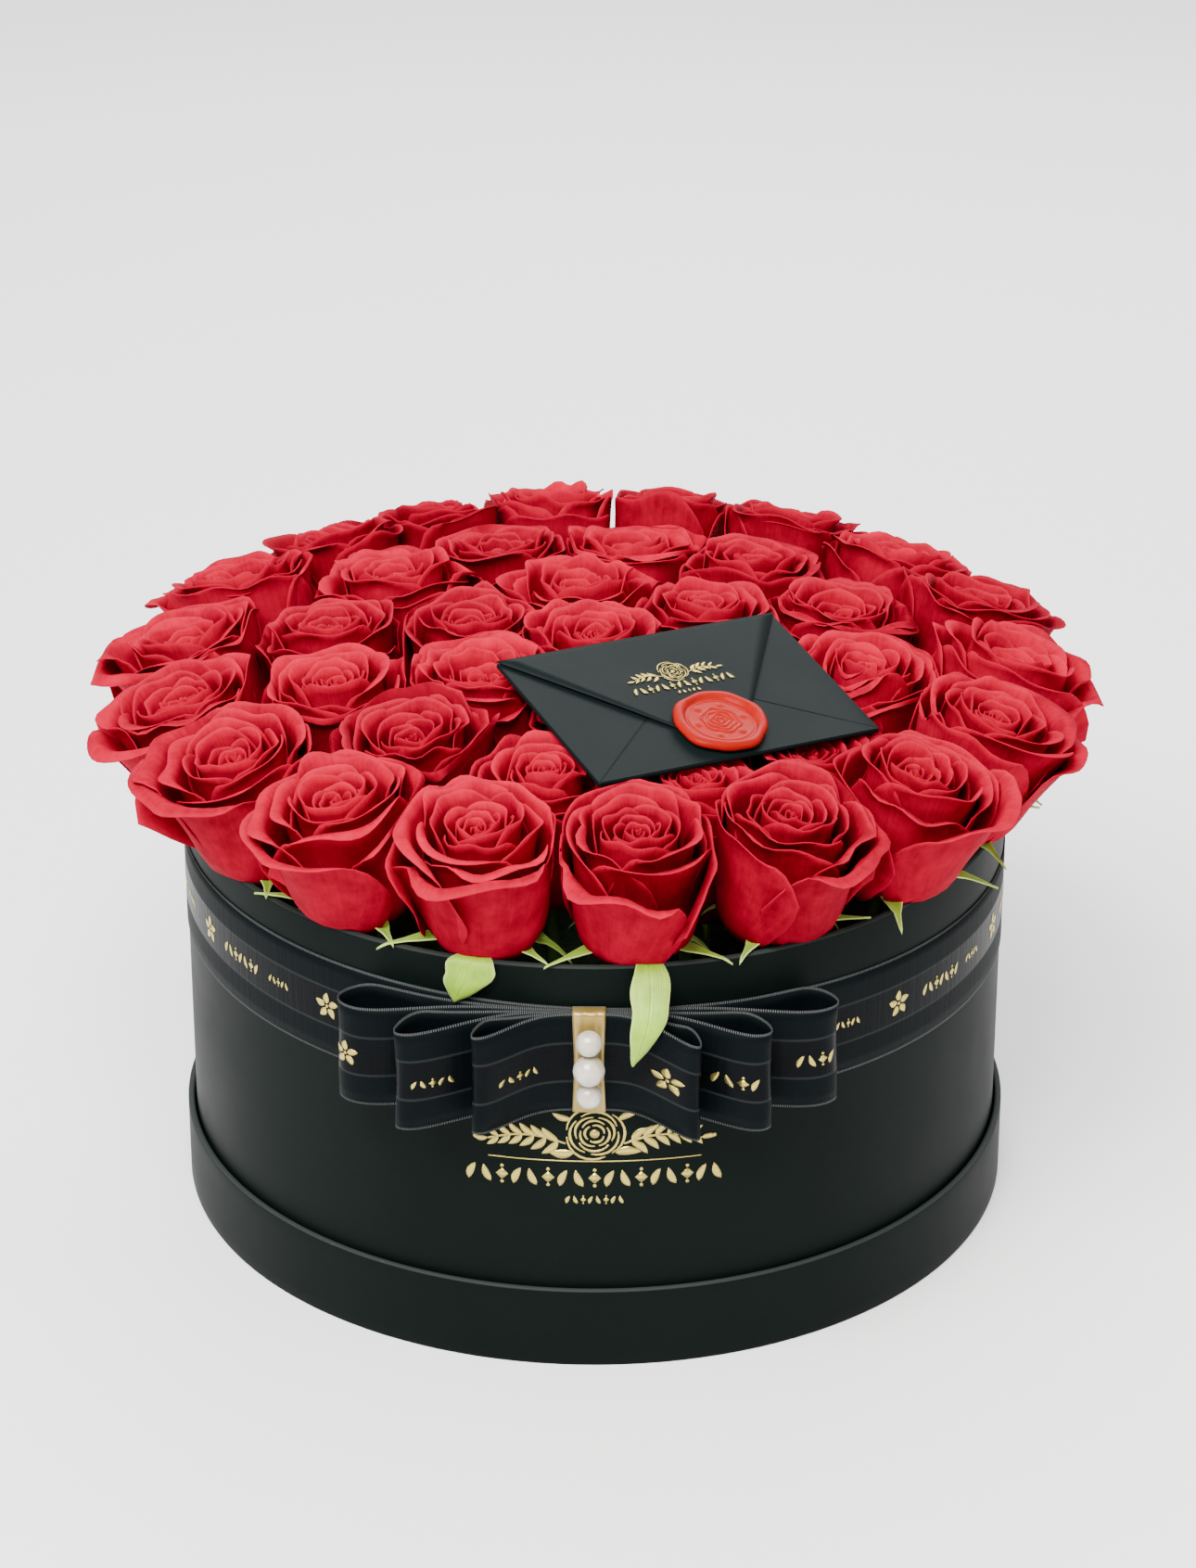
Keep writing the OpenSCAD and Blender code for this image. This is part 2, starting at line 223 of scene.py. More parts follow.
def sheetGrid(bm, columns, rows, place):
    # place turns a spot of the flat sheet, -1 to 1 both ways, into a point
    made = bmesh.ops.create_grid(bm, x_segments=columns, y_segments=rows, size=1, calc_uvs=True)
    for vert in made["verts"]:
        vert.co = place(vert.co.x, vert.co.y)
    return made["verts"]


def thicken(piece, thickness, offset=0.0, inner=0):
    wall = piece.modifiers.new("wall", "SOLIDIFY")
    wall.thickness = thickness * mm
    wall.offset = offset
    wall.material_offset = inner


def closeUp(bm, distance):
    # Joins what lies closer than distance and turns every face outward
    bmesh.ops.remove_doubles(bm, verts=bm.verts, dist=distance)
    bmesh.ops.recalc_face_normals(bm, faces=bm.faces)


def spun(bm, profile, steps, closed=False):
    # Turns a line of radii and heights once round the Z axis
    verts = [bm.verts.new((r, 0, z)) for r, z in profile]
    ends = verts[1:] + verts[:1] if closed else verts[1:]
    edges = [bm.edges.new(pair) for pair in zip(verts, ends)]
    bmesh.ops.spin(bm, geom=verts + edges, cent=(0, 0, 0), axis=(0, 0, 1), angle=tau, steps=steps,
                   use_merge=True)


def between(path, spot):
    # The point that lies spot steps along a list of points
    index = min(len(path) - 2, int(spot))
    part = spot - index
    return [a * (1 - part) + b * part for a, b in zip(path[index], path[index + 1])]


def corner(r, z, radius, start, end, steps=5):
    turns = [radians(start + (end - start) * i / steps) for i in range(steps + 1)]
    return [(r + radius * cos(a), z + radius * sin(a)) for a in turns]


print("finishes")


def paperFinish(name, base, grain, gloss, rim=None):
    mat = newFinish(name, Roughness=0.46, Specular_IOR_Level=gloss)
    here = coords(mat)
    fine = noise(mat, here, 2600, 3, 0.6)
    cloud = noise(mat, here, 14, 4, 0.6)
    scuff = ramp(mat, noise(mat, here, 170, 5, 0.7, 0.6), (0.62, 0.0), (0.78, 1.0))
    dark = tuple(value * 0.72 for value in base)
    light = tuple(value * 1.7 + 0.001 for value in base)
    colour = mixed(mat, spread(mat, cloud, 0.3, 0.7), dark, base)
    colour = mixed(mat, times(mat, scuff, 0.22), colour, light)
    if rim:
        # the paper is drawn paler where it turns over its rim: partly wear from rubbing, partly a painted
        # highlight along the rim
        edge = rim * mm
        level = axisOf(mat, here, 2)
        wearAndHighlight = times(mat, spread(mat, level, edge - 0.0007, edge - 0.0002),
                       spread(mat, level, edge + 0.0001, edge + 0.0004, 1.0, 0.0))
        wearAndHighlight = times(mat, wearAndHighlight, spread(mat, scuff, 0.0, 1.0, 0.4, 0.9))
        colour = mixed(mat, wearAndHighlight, colour, (0.055, 0.065, 0.06))
    rough = spread(mat, plus(mat, cloud, times(mat, fine, 0.3)), 0.3, 0.9, 0.4, 0.56)
    return finish(mat, colour, rough, fine, grain, 0.5)


def boardFinish():
    mat = newFinish("greyBoard", Roughness=0.9)
    here = coords(mat, scale=(1, 1, 3))
    fibre = noise(mat, here, 900, 5, 0.7, 0.8)
    fleck = ramp(mat, noise(mat, here, 420, 2, 0.5), (0.66, 0.0), (0.7, 1.0))
    colour = mixed(mat, fibre, (0.2, 0.19, 0.17), (0.42, 0.4, 0.37))
    colour = mixed(mat, times(mat, fleck, 0.5), colour, (0.1, 0.09, 0.08))
    return finish(mat, colour, None, fibre, 0.12)


def ribbonFinish():
    # The ribbon's UV map runs in centimetres along it and from 0 to 1 across it
    mat = newFinish("blackRibbon", Roughness=0.36, Specular_IOR_Level=0.032, Anisotropic=0.5)
    here = coords(mat, "UVMap")
    across = axisOf(mat, here, 1)
    middle = fromMiddle(mat, across)
    satin = spread(mat, middle, 0.185, 0.2, 1.0, 0.0)
    ribs = addNode(mat, "ShaderNodeTexWave", {"Vector": here, "Scale": 6.0, "Distortion": 0.3},
                   bands_direction="X").outputs["Fac"]
    threads = addNode(mat, "ShaderNodeTexWave", {"Vector": here, "Scale": 26.0, "Distortion": 0.2},
                      bands_direction="Y").outputs["Fac"]
    gauze = noise(mat, coords(mat, "UVMap", (90, 260, 1)), 1.0, 2, 0.6)
    silk = noise(mat, coords(mat, "UVMap", (1.2, 150, 1)), 1.0, 3, 0.6)
    picot = times(mat, spread(mat, middle, 0.474, 0.484), spread(mat, ribs, 0.55, 0.7))
    border = times(mat, spread(mat, middle, 0.2, 0.212, 1.0, 0.0), spread(mat, middle, 0.178, 0.19))
    sheer = mixed(mat, gauze, (0.0009, 0.0018, 0.0023), (0.0024, 0.0042, 0.005))
    shiny = mixed(mat, silk, (0.0007, 0.0012, 0.0015), (0.0032, 0.004, 0.005))
    colour = mixed(mat, satin, sheer, shiny)
    colour = mixed(mat, times(mat, border, 0.35), colour, (0.03, 0.034, 0.034))
    colour = mixed(mat, times(mat, picot, 0.7), colour, (0.11, 0.12, 0.115))
    rough = minus(mat, spread(mat, gauze, 0.2, 0.8, 0.42, 0.6),
                  times(mat, satin, spread(mat, silk, 0.2, 0.8, 0.3, 0.16)))
    height = plus(mat, times(mat, ribs, 0.5), times(mat, plus(mat, threads, silk), 0.4))
    crinkle = noise(mat, coords(mat, "UVMap", (5.5, 0.5, 1)), 1.0, 3, 0.55, 0.3)
    height = plus(mat, height, times(mat, crinkle, 14.0))
    return finish(mat, colour, rough, height, 0.03, 0.4)


def goldSatinFinish():
    mat = newFinish("goldSatin", Roughness=0.34, Sheen_Weight=0.08, Sheen_Roughness=0.35,
                    Metallic=0.45, Anisotropic=0.4)
    weave = noise(mat, coords(mat, scale=(2600, 2600, 160)), 1.0, 3, 0.6)
    fold = noise(mat, coords(mat), 90, 3, 0.5)
    colour = mixed(mat, weave, (0.18, 0.115, 0.018), (0.34, 0.235, 0.055))
    # painted sheen: random paler gold patches stand for light caught on the satin's folds
    colour = mixed(mat, spread(mat, fold, 0.35, 0.65, 0.0, 0.6), colour, (0.42, 0.33, 0.13))
    return finish(mat, colour, spread(mat, weave, 0.2, 0.8, 0.26, 0.42), weave, 0.06)


def foilFinish():
    mat = newFinish("goldFoil", Roughness=0.3, Metallic=0.85)
    here = coords(mat)
    wear = noise(mat, here, 1500, 3, 0.6)
    cloud = noise(mat, here, 120, 2, 0.5)
    colour = mixed(mat, wear, (0.36, 0.27, 0.05), (0.62, 0.5, 0.14))
    return finish(mat, colour, spread(mat, cloud, 0.3, 0.7, 0.24, 0.44), wear, 0.03, 0.4)


def pearlFinish():
    mat = newFinish("pearl", Roughness=0.2, Coat_Weight=0.8, Coat_Roughness=0.08, Sheen_Weight=0.2,
                    Subsurface_Weight=0.15, Subsurface_Scale=0.003)
    here = coords(mat)
    lustre = noise(mat, here, 160, 3, 0.5, 0.5)
    colour = ramp(mat, lustre, (0.3, (0.34, 0.29, 0.21)), (0.5, (0.48, 0.43, 0.34)),
                  (0.7, (0.56, 0.52, 0.45)))
    pits = noise(mat, here, 900, 2)
    return finish(mat, colour, spread(mat, lustre, 0.3, 0.7, 0.14, 0.28), pits, 0.02, 0.3)


def foamFinish():
    mat = newFinish("wetFoam", Roughness=0.85)
    here = coords(mat)
    pores = addNode(mat, "ShaderNodeTexVoronoi", {"Vector": here, "Scale": 1400.0}).outputs["Distance"]
    damp = noise(mat, here, 30, 4, 0.6)
    # painted shade: the pits of the pores are drawn darker
    colour = mixed(mat, pores, (0.005, 0.014, 0.007), (0.03, 0.08, 0.034))
    colour = mixed(mat, spread(mat, damp, 0.45, 0.7, 0.0, 0.6), colour, (0.006, 0.018, 0.008))
    return finish(mat, colour, spread(mat, damp, 0.35, 0.7, 0.9, 0.55), pores, 0.35)


def stemFinish():
    mat = newFinish("stemGreen", Roughness=0.5)
    streak = noise(mat, coords(mat, scale=(900, 900, 40)), 1.0, 4, 0.6)
    blotch = noise(mat, coords(mat), 60, 3, 0.6)
    colour = mixed(mat, streak, (0.05, 0.14, 0.025), (0.14, 0.28, 0.06))
    colour = mixed(mat, spread(mat, blotch, 0.5, 0.75, 0.0, 0.5), colour, (0.16, 0.12, 0.05))
    return finish(mat, colour, None, streak, 0.12)


def leafFinish():
    mat = newFinish("sepalGreen", Roughness=0.46, Sheen_Weight=0.15, Subsurface_Weight=0.08,
                    Subsurface_Scale=0.002)
    here = coords(mat, "UVMap")
    across = fromMiddle(mat, axisOf(mat, here, 0))
    along = axisOf(mat, here, 1)
    veins = noise(mat, coords(mat, "UVMap", (26, 5, 1)), 1.0, 3, 0.6, 0.4)
    patch = noise(mat, coords(mat), 150, 3, 0.6)
    colour = mixed(mat, veins, (0.17, 0.33, 0.0), (0.37, 0.58, 0.012))
    colour = mixed(mat, spread(mat, patch, 0.4, 0.7, 0.0, 0.55), colour, (0.11, 0.23, 0.0))
    colour = mixed(mat, spread(mat, along, 0.55, 1.0, 0.0, 0.5), colour, (0.16, 0.3, 0.0))
    colour = mixed(mat, spread(mat, across, 0.43, 0.49, 0.0, 0.75), colour, (0.5, 0.62, 0.16))
    rib = spread(mat, across, 0.0, 0.05, 1.0, 0.0)
    height = minus(mat, veins, rib)
    return finish(mat, colour, None, height, 0.18)


def petalFinish(name, deep, bright, rim):
    # Two UV maps: UVMap runs over the petal, tone holds how bright and how far out it is
    mat = newFinish(name, Roughness=0.6, Specular_IOR_Level=0.01)
    here = coords(mat, "UVMap")
    across = fromMiddle(mat, axisOf(mat, here, 0))
    along = axisOf(mat, here, 1)
    tone = axisOf(mat, coords(mat, "tone"), 0)
    veins = noise(mat, coords(mat, "UVMap", (46, 2.6, 1)), 1.0, 4, 0.6, 0.5)
    fine = noise(mat, coords(mat), 1500, 3, 0.6)
    mottle = noise(mat, coords(mat), 130, 4, 0.6)
    fac = plus(mat, times(mat, veins, 0.3), times(mat, mottle, 0.7))
    fac = plus(mat, fac, minus(mat, tone, 0.55))
    colour = mixed(mat, spread(mat, fac, 0.25, 0.85), deep, bright)
    # painted shade: the petal's middle crease is drawn darker, most towards its foot
    creaseShade = times(mat, spread(mat, across, 0.0, 0.03, 0.5, 0.0), spread(mat, along, 0.2, 0.8, 0.8, 0.1))
    colour = mixed(mat, creaseShade, colour, deep)
    # painted highlight: the petal's top edge and upper sides are drawn towards the rim colour
    sides = times(mat, spread(mat, across, 0.478, 0.499), spread(mat, along, 0.3, 0.6))
    edge = mathOf(mat, "MAXIMUM", spread(mat, along, 0.962, 0.998), sides)
    colour = mixed(mat, times(mat, edge, 0.5), colour, rim)
    height = plus(mat, veins, times(mat, fine, 0.35))
    return finish(mat, colour, spread(mat, fine, 0.3, 0.7, 0.52, 0.66), height, 0.14, 0.6)


def mottledFinish(name, low, high, clouds, bumps, depth, rough=None, **settings):
    # clouds and bumps give a noise's scale, detail, roughness and twist
    mat = newFinish(name, **settings)
    here = coords(mat)
    cloud = noise(mat, here, *clouds)
    grain = noise(mat, here, *bumps)
    uneven = spread(mat, cloud, 0.3, 0.7, *rough) if rough else None
    return finish(mat, mixed(mat, cloud, low, high), uneven, grain, depth)


def floorFinish():
    mat = newFinish("studioFloor", Roughness=0.7, Specular_IOR_Level=0.1)
    cloud = noise(mat, coords(mat), 3, 3, 0.5)
    return finish(mat, mixed(mat, cloud, (0.93, 0.93, 0.93), (0.96, 0.96, 0.955)))


boxBlack = (0.0023, 0.0048, 0.004)
boxPaper = paperFinish("boxPaper", boxBlack, 0.05, 0.038, shell["rimZ"])
lidPaper = paperFinish("lidPaper", boxBlack, 0.05, 0.038, shell["lidTop"])
envelopePaper = paperFinish("envelopePaper", (0.0044, 0.0078, 0.008), 0.07, 0.042)
greyBoard = boardFinish()
blackRibbon = ribbonFinish()
goldSatin = goldSatinFinish()
goldFoil = foilFinish()
pearlCoat = pearlFinish()
linerPlastic = mottledFinish("linerPlastic", (0.012, 0.013, 0.014), (0.03, 0.032, 0.034), (40, 3, 0.5),
                             (1200, 2, 0.5), 0.08, (0.32, 0.5), Roughness=0.4)
wetFoam = foamFinish()
stemGreen = stemFinish()
sepalGreen = leafFinish()
petalInside = petalFinish("petalInside", (0.16, 0.0, 0.007), (0.41, 0.0, 0.022), (0.39, 0.0, 0.022))
petalOutside = petalFinish("petalOutside", (0.2, 0.0, 0.01), (0.52, 0.0, 0.028), (0.47, 0.012, 0.036))
sealingWax = mottledFinish("sealingWax", (0.21, 0.002, 0.001), (0.34, 0.006, 0.003), (120, 4, 0.6, 1.2),
                           (900, 2, 0.5), 0.06, (0.24, 0.4), Roughness=0.34, Specular_IOR_Level=0.05,
                           Coat_Weight=0.012, Coat_Roughness=0.08)
ivoryCard = mottledFinish("ivoryCard", (0.7, 0.66, 0.56), (0.8, 0.77, 0.68), (60, 3, 0.5), (2200, 4, 0.7),
                          0.05, Roughness=0.8)

for nodeName, mat in (("lid_disc", lidPaper), ("lid_rim", greyBoard), ("box_base", greyBoard),
                      ("box_tube", greyBoard), ("liner_tray", linerPlastic), ("foam_bricks", wetFoam),
                      ("stems", stemGreen), ("note_card", ivoryCard)):
    for matSlot in nodes[nodeName].material_slots:
        matSlot.material = mat


print("box and lid papers")


def paperProfile(outer, foot, top, inside, turnIn):
    rounded = shell["rimRound"]
    wall = shell["paper"]
    line = corner(outer - 0.4, foot + 0.4, 0.4, -90, 0, 3)
    line += [(outer, foot + (top - foot) * i / 6) for i in range(1, 6)]
    line += corner(outer - rounded, top - rounded, rounded, 0, 90)
    line += corner(inside + rounded, top - rounded, rounded, 90, 180)
    line += [(inside, top - turnIn)]
    line += [(inside + wall, top - turnIn)]
    line += corner(inside + rounded, top - rounded, rounded - wall, 180, 90)
    line += corner(outer - rounded, top - rounded, rounded - wall, 90, 0)
    line += [(outer - wall, foot)]
    return line


def wrapPaper(name, mat, body, replaced, *sizes):
    bm = newShape()
    spun(bm, paperProfile(*sizes), 192, True)
    closeUp(bm, 0.001)
    outer = sizes[0]
    for vert in bm.verts:
        # the paper's end overlaps itself in one upright seam at the back
        turn = degrees(atan2(vert.co.y, vert.co.x)) - 90
        reach = hypot(vert.co.x, vert.co.y)
        if reach > outer - 0.2 and 0 <= turn < shell["seamWidth"]:
            lift = shell["seam"] * (1 - turn / shell["seamWidth"])
            vert.co.x *= (reach + lift) / reach
            vert.co.y *= (reach + lift) / reach
    buildPiece(name, bm, [mat], body, [replaced])


wrapPaper("boxPaper", boxPaper, "box", "box_wrap_paper", shell["boxR"], shell["boxFoot"], shell["rimZ"],
          shell["boxInside"], shell["boxTurnIn"])
wrapPaper("lidPaper", lidPaper, "lid", "lid_wrap_paper", shell["lidR"], shell["lidFoot"], shell["lidTop"],
          shell["lidInside"], shell["lidTurnIn"])


print("ribbon and bow")

ribbon = {"width": 37.4, "middleZ": 121.8, "innerR": 150.12, "thickness": 0.42, "slant": 1.5,
          "columns": 220, "rows": 8, "turn": -0.7}


def setLengthUv(verts, bm, length):
    # The grid's UV becomes centimetres along and 0 to 1 across
    layer = bm.loops.layers.uv["UVMap"]
    done = set()
    for vert in verts:
        for loop in vert.link_loops:
            if loop not in done:
                loop[layer].uv = (loop[layer].uv.x * length / 10, loop[layer].uv.y)
                done.add(loop)


def bandPoint(turn, z, out=0.0):
    # A point of the band: turn in degrees from the front, z across the ribbon
    a = radians(turn)
    reach = ribbon["innerR"] + out
    x = reach * sin(a)
    drop = tan(radians(ribbon["slant"])) * x
    return Vector((x, -reach * cos(a), ribbon["middleZ"] + z - drop))


bandShape = newShape()
bandVerts = sheetGrid(bandShape, ribbon["columns"], ribbon["rows"],
                      lambda a, b: bandPoint(180 * a, b * ribbon["width"] / 2))
setLengthUv(bandVerts, bandShape, tau * ribbon["innerR"])
closeUp(bandShape, 0.01)
band = buildPiece("ribbonBand", bandShape, [blackRibbon], "box", ["ribbon_band"])
thicken(band, ribbon["thickness"], 1.0)

# Each loop: side, reach, how far back its pinched end lies, its climb, how full it is, droop and sway
bow = {"left_long": (-1, 82, 1.2, 0, 9.4, 0.4, 0.3), "right_long": (1, 81, 1.2, 0, 9.0, 0.8, 1.1),
       "left_middle": (-1, 57.5, 2.3, 9.2, 9.2, 1.4, 2.0),
       "right_middle": (1, 54.5, 2.3, 8.2, 9.0, 1.0, 0.7),
       "left_short": (-1, 34.5, 3.4, 8.8, 7.0, 0.6, 1.5), "right_short": (1, 33.0, 3.4, 8.7, 7.3, 3.4, 2.6)}
pinch = 0.6
fullAt = 0.9


def fullness(share):
    return 2 * sqrt(max(0.0, share * (1 - share))) * share ** 4 / 0.394


def loopMiddle(loop, turn):
    side, reach, back, climb, puff, droop, sway = loop
    tape = ribbon["thickness"]
    share = (1 - cos(turn)) / 2
    full = fullness(share)
    half = (puff - tape) * full + 0.25 * (1 - share)
    out = full if share < fullAt else 1
    return (pinch + (reach - pinch) * share,
            back + climb * share ** 2 + 0.5 + (puff - tape) * out + (half if turn < pi else -half),
            share)


def loopPoint(loop, turn, z, out=0.0):
    side, reach, back, climb, puff, droop, sway = loop
    along, away, share = loopMiddle(loop, turn)
    if out:
        before = loopMiddle(loop, turn - 0.01)
        after = loopMiddle(loop, turn + 0.01)
        run = Vector((after[0] - before[0], after[1] - before[1])).normalized()
        along -= run.y * out
        away += run.x * out
    loose = max(0.0, share - 0.25) ** 1.5
    height = z / (ribbon["width"] / 2)
    away += loose * (0.8 * sin(3.1 * height + 9 * share + sway)) * (1 if turn < pi else 0.4)
    away += loose * 0.8 * height * height
    z = z * (1 - 0.012 * loose) - droop * loose * (1 + 0.25 * height)
    z += loose * 0.5 * sin(5 * turn + sway)
    a = radians(ribbon["turn"]) + side * along / shell["boxR"]
    far = shell["boxR"] + away
    return Vector((far * sin(a), -far * cos(a), ribbon["middleZ"] + z))


def loopLength(loop):
    points = [loopPoint(loop, tau * i / 200, 0) for i in range(201)]
    return sum((points[i + 1] - points[i]).length for i in range(200))


for loopName, loop in bow.items():
    shape = newShape()
    verts = sheetGrid(shape, 84, 8,
                      lambda a, b: loopPoint(loop, pi + a * (pi - 0.02), b * ribbon["width"] / 2))
    setLengthUv(verts, shape, loopLength(loop))
    if loop[0] < 0:
        bmesh.ops.reverse_faces(shape, faces=shape.faces)
    piece = buildPiece("bowLoop_" + loopName, shape, [blackRibbon], "box",
                       ["bow_loop_" + loopName])
    thicken(piece, ribbon["thickness"])
    round(loopLength(loop) * mm, 3)

clasp = {"width": 10.6, "tall": 38.6, "face": 155.55, "back": 150.85, "round": 1.6}


def claspPoint(a, b):
    # Runs from the lip over the bow, down its face and under it, with soft folds down the satin
    tall = clasp["tall"] / 2
    deep = clasp["face"] - clasp["back"]
    rounded = clasp["round"]
    path = [(clasp["back"], tall), (clasp["face"] - rounded, tall)]
    path += corner(clasp["face"] - rounded, tall - rounded, rounded, 90, 0, 6)[1:]
    path += [(clasp["face"], tall * (1 - 2 * i / 14)) for i in range(2, 13)]
    path += corner(clasp["face"] - rounded, rounded - tall, rounded, 0, -90, 6)
    path += [(clasp["back"], -tall)]
    away, z = between(path, (a + 1) / 2 * (len(path) - 1))
    fold = 0.16 * sin(b * 7.4 + 0.5 * sin(z * 0.12)) + 0.1 * cos(b * 15 + z * 0.05)
    wide = b * clasp["width"] / 2 * (1 - 0.05 * cos(z * 0.16))
    if away > clasp["back"] + deep * 0.3:
        away += fold - 0.35 * b ** 4
    turn = radians(ribbon["turn"])
    return Matrix.Rotation(turn, 3, "Z") @ Vector((wide, -away, ribbon["middleZ"] + z))


claspShape = newShape()
sheetGrid(claspShape, 56, 14, claspPoint)
bmesh.ops.recalc_face_normals(claspShape, faces=claspShape.faces)
claspPiece = buildPiece("bowClasp", claspShape, [goldSatin], "box", ["bow_clasp"])
thicken(claspPiece, 0.4, 0.0)

pearls = {"sizes": (9.0, 10.8, 9.0), "gap": 0.12, "seat": 0.8, "out": 156.1, "bead": 0.9}
pearlShape = newShape()
step = (pearls["sizes"][0] + pearls["sizes"][1]) / 2 + pearls["gap"]
for index, size in enumerate(pearls["sizes"]):
    middle = Vector((0, -pearls["out"] - pearls["seat"] * size / 2, ribbon["middleZ"] + (index - 1) * step))
    ball = bmesh.ops.create_uvsphere(pearlShape, u_segments=40, v_segments=24, radius=size / 2,
                                     calc_uvs=True)
    for vert in ball["verts"]:
        # a pearl is a little uneven and has its drilled ends pulled in
        pull = 1 - 0.06 * max(0.0, abs(vert.co.z) / (size / 2) - 0.93) / 0.07
        vert.co *= pull * (1 + 0.008 * sin(vert.co.x * 1.3 + index) * cos(vert.co.z * 1.1))
        vert.co += middle
bmesh.ops.rotate(pearlShape, cent=(0, 0, 0), matrix=Matrix.Rotation(radians(ribbon["turn"]), 3, "Z"),
                 verts=pearlShape.verts)
buildPiece("pearlTrio", pearlShape, [pearlCoat], "box", ["pearls"])


print("gold prints")

# Flat foil shapes, drawn in millimetres on a plane and laid on their surface by a place function


def foilLeaf(bm, x, y, length, width, turn, columns=6):
    a = radians(turn)

    def place(u, v):
        along = (u + 1) / 2
        side = v * width / 2 * sin(pi * along ** 0.85) ** 0.8 if 0 < along < 1 else 0
        bend = 0.08 * length * sin(pi * along)
        forward = along * length
        return Vector((x + forward * cos(a) - (side + bend) * sin(a),
                       y + forward * sin(a) + (side + bend) * cos(a), 0))

    sheetGrid(bm, columns, 2, place)


def foilLine(bm, points, width, taper=0.0):
    count = len(points) - 1

    def place(u, v):
        spot = (u + 1) / 2 * count
        index = min(count - 1, int(spot))
        part = spot - index
        start = Vector(points[index])
        end = Vector(points[index + 1])
        at = start.lerp(end, part)
        run = (end - start).normalized()
        half = v * width / 2 * (1 - taper * abs(u))
        return Vector((at.x - run.y * half, at.y + run.x * half, 0))

    sheetGrid(bm, count, 1, place)


def foilDot(bm, x, y, radius, sides):
    made = bmesh.ops.create_circle(bm, cap_ends=True, radius=radius, segments=sides)
    for vert in made["verts"]:
        vert.co += Vector((x, y, 0))


def foilRose(bm, x, y, size):
    # A rose seen from above: nested arcs round a small middle
    foilDot(bm, x, y, size * 0.09, 10)
    for ring in range(5):
        radius = size * (0.17 + 0.085 * ring)
        for arc in range(3):
            start = arc * 120 + ring * 47
            points = []
            for i in range(9):
                a = radians(start + 104 * i / 8)
                reach = radius * (1 + 0.07 * sin(pi * i / 8))
                points.append((x + reach * cos(a), y + reach * sin(a)))
            foilLine(bm, points, size * 0.052, 0.5)


def foilSprig(bm, x, y, length, height, side=1, pairs=4):
    # A bending stem with leaves in pairs, growing along X
    stem = []
    for i in range(13):
        s = i / 12
        stem.append((x + side * length * s, y + height * 0.22 * sin(pi * s)))
    foilLine(bm, stem, height * 0.07, 0.2)
    for pair in range(pairs):
        s = (pair + 0.6) / (pairs + 0.5)
        at = (x + side * length * s, y + height * 0.22 * sin(pi * s))
        long = height * (0.62 - 0.22 * s)
        for way in (1, -1):
            turn = way * 42 if side > 0 else 180 - way * 42
            foilLeaf(bm, at[0], at[1], long, long * 0.36, turn)
    end = 0 if side > 0 else 180
    foilLeaf(bm, x + side * length, y, height * 0.42, height * 0.16, end)


def foilRow(bm, x, y, width, height, count):
    # A row of leaves and lozenges where a maker would put a name
    pitch = width / count
    for i in range(count):
        at = x - width / 2 + (i + 0.5) * pitch
        if i % 3 == 2:
            foilDot(bm, at, y, height * 0.3, 4)
            foilDot(bm, at, y + height * 0.42, height * 0.09, 8)
            foilDot(bm, at, y - height * 0.42, height * 0.09, 8)
        else:
            lean = 68 if i % 3 == 0 else 112
            foilLeaf(bm, at - 0.5 * height * cos(radians(lean)), y - height * 0.48, height * 0.96,
                     pitch * 0.5, lean)


def foilFlower(bm, x, y, size):
    for i in range(5):
        foilLeaf(bm, x + size * 0.09 * cos(radians(90 + 72 * i)),
                 y + size * 0.09 * sin(radians(90 + 72 * i)), size * 0.4, size * 0.25, 90 + 72 * i)
    foilDot(bm, x, y, size * 0.06, 8)


def layFoil(name, bm, surface, body, thickness=0.05):
    # surface turns a flat point into a place on the object
    bmesh.ops.triangulate(bm, faces=[face for face in bm.faces if len(face.verts) > 4])
    for vert in bm.verts:
        vert.co = surface(vert.co.x, vert.co.y)
    bmesh.ops.remove_doubles(bm, verts=bm.verts, dist=0.002)
    piece = buildPiece(name, bm, [goldFoil], body, sharpAngle=80)
    thicken(piece, thickness, 1.0)


emblem = {"roseZ": 91.5, "roseSize": 19, "sprigZ": 87.5, "lineZ": 80.6, "lineWidth": 74, "rowZ": 74,
          "rowWidth": 91, "lowZ": 65.4, "lowWidth": 21}


def onBoxWall(x, z):
    reach = shell["boxR"] + 0.06
    a = x / reach
    return Vector((reach * sin(a), -reach * cos(a), z))


emblemShape = newShape()
foilRose(emblemShape, 0, emblem["roseZ"], emblem["roseSize"])
for side in (-1, 1):
    foilSprig(emblemShape, side * 10, emblem["sprigZ"], 27, 13, side, 6)
    foilLeaf(emblemShape, side * 7, 84, 9, 3.4, 0 if side > 0 else 180)
    foilLeaf(emblemShape, side * 8, 97, 7, 2.6, 20 if side > 0 else 160)
    foilDot(emblemShape, side * 41.5, 88, 0.8, 10)
lineSteps = 40
foilLine(emblemShape, [(-emblem["lineWidth"] / 2 + emblem["lineWidth"] * i / lineSteps, emblem["lineZ"])
                       for i in range(lineSteps + 1)], 0.4)
foilRow(emblemShape, 0, emblem["rowZ"], emblem["rowWidth"], 7.4, 17)
foilRow(emblemShape, 0, emblem["lowZ"], emblem["lowWidth"], 3.4, 8)
layFoil("boxEmblem", emblemShape, onBoxWall, "box")

# The same three prints repeat round the ribbon: a flower, a wide row and a narrow row
prints = {"pitch": 72, "first": 14, "flower": 10.5, "wideAt": 25, "wide": 24, "narrowAt": 48, "narrow": 11,
          "fromTurn": 97, "spare": 6, "lift": 0.05}


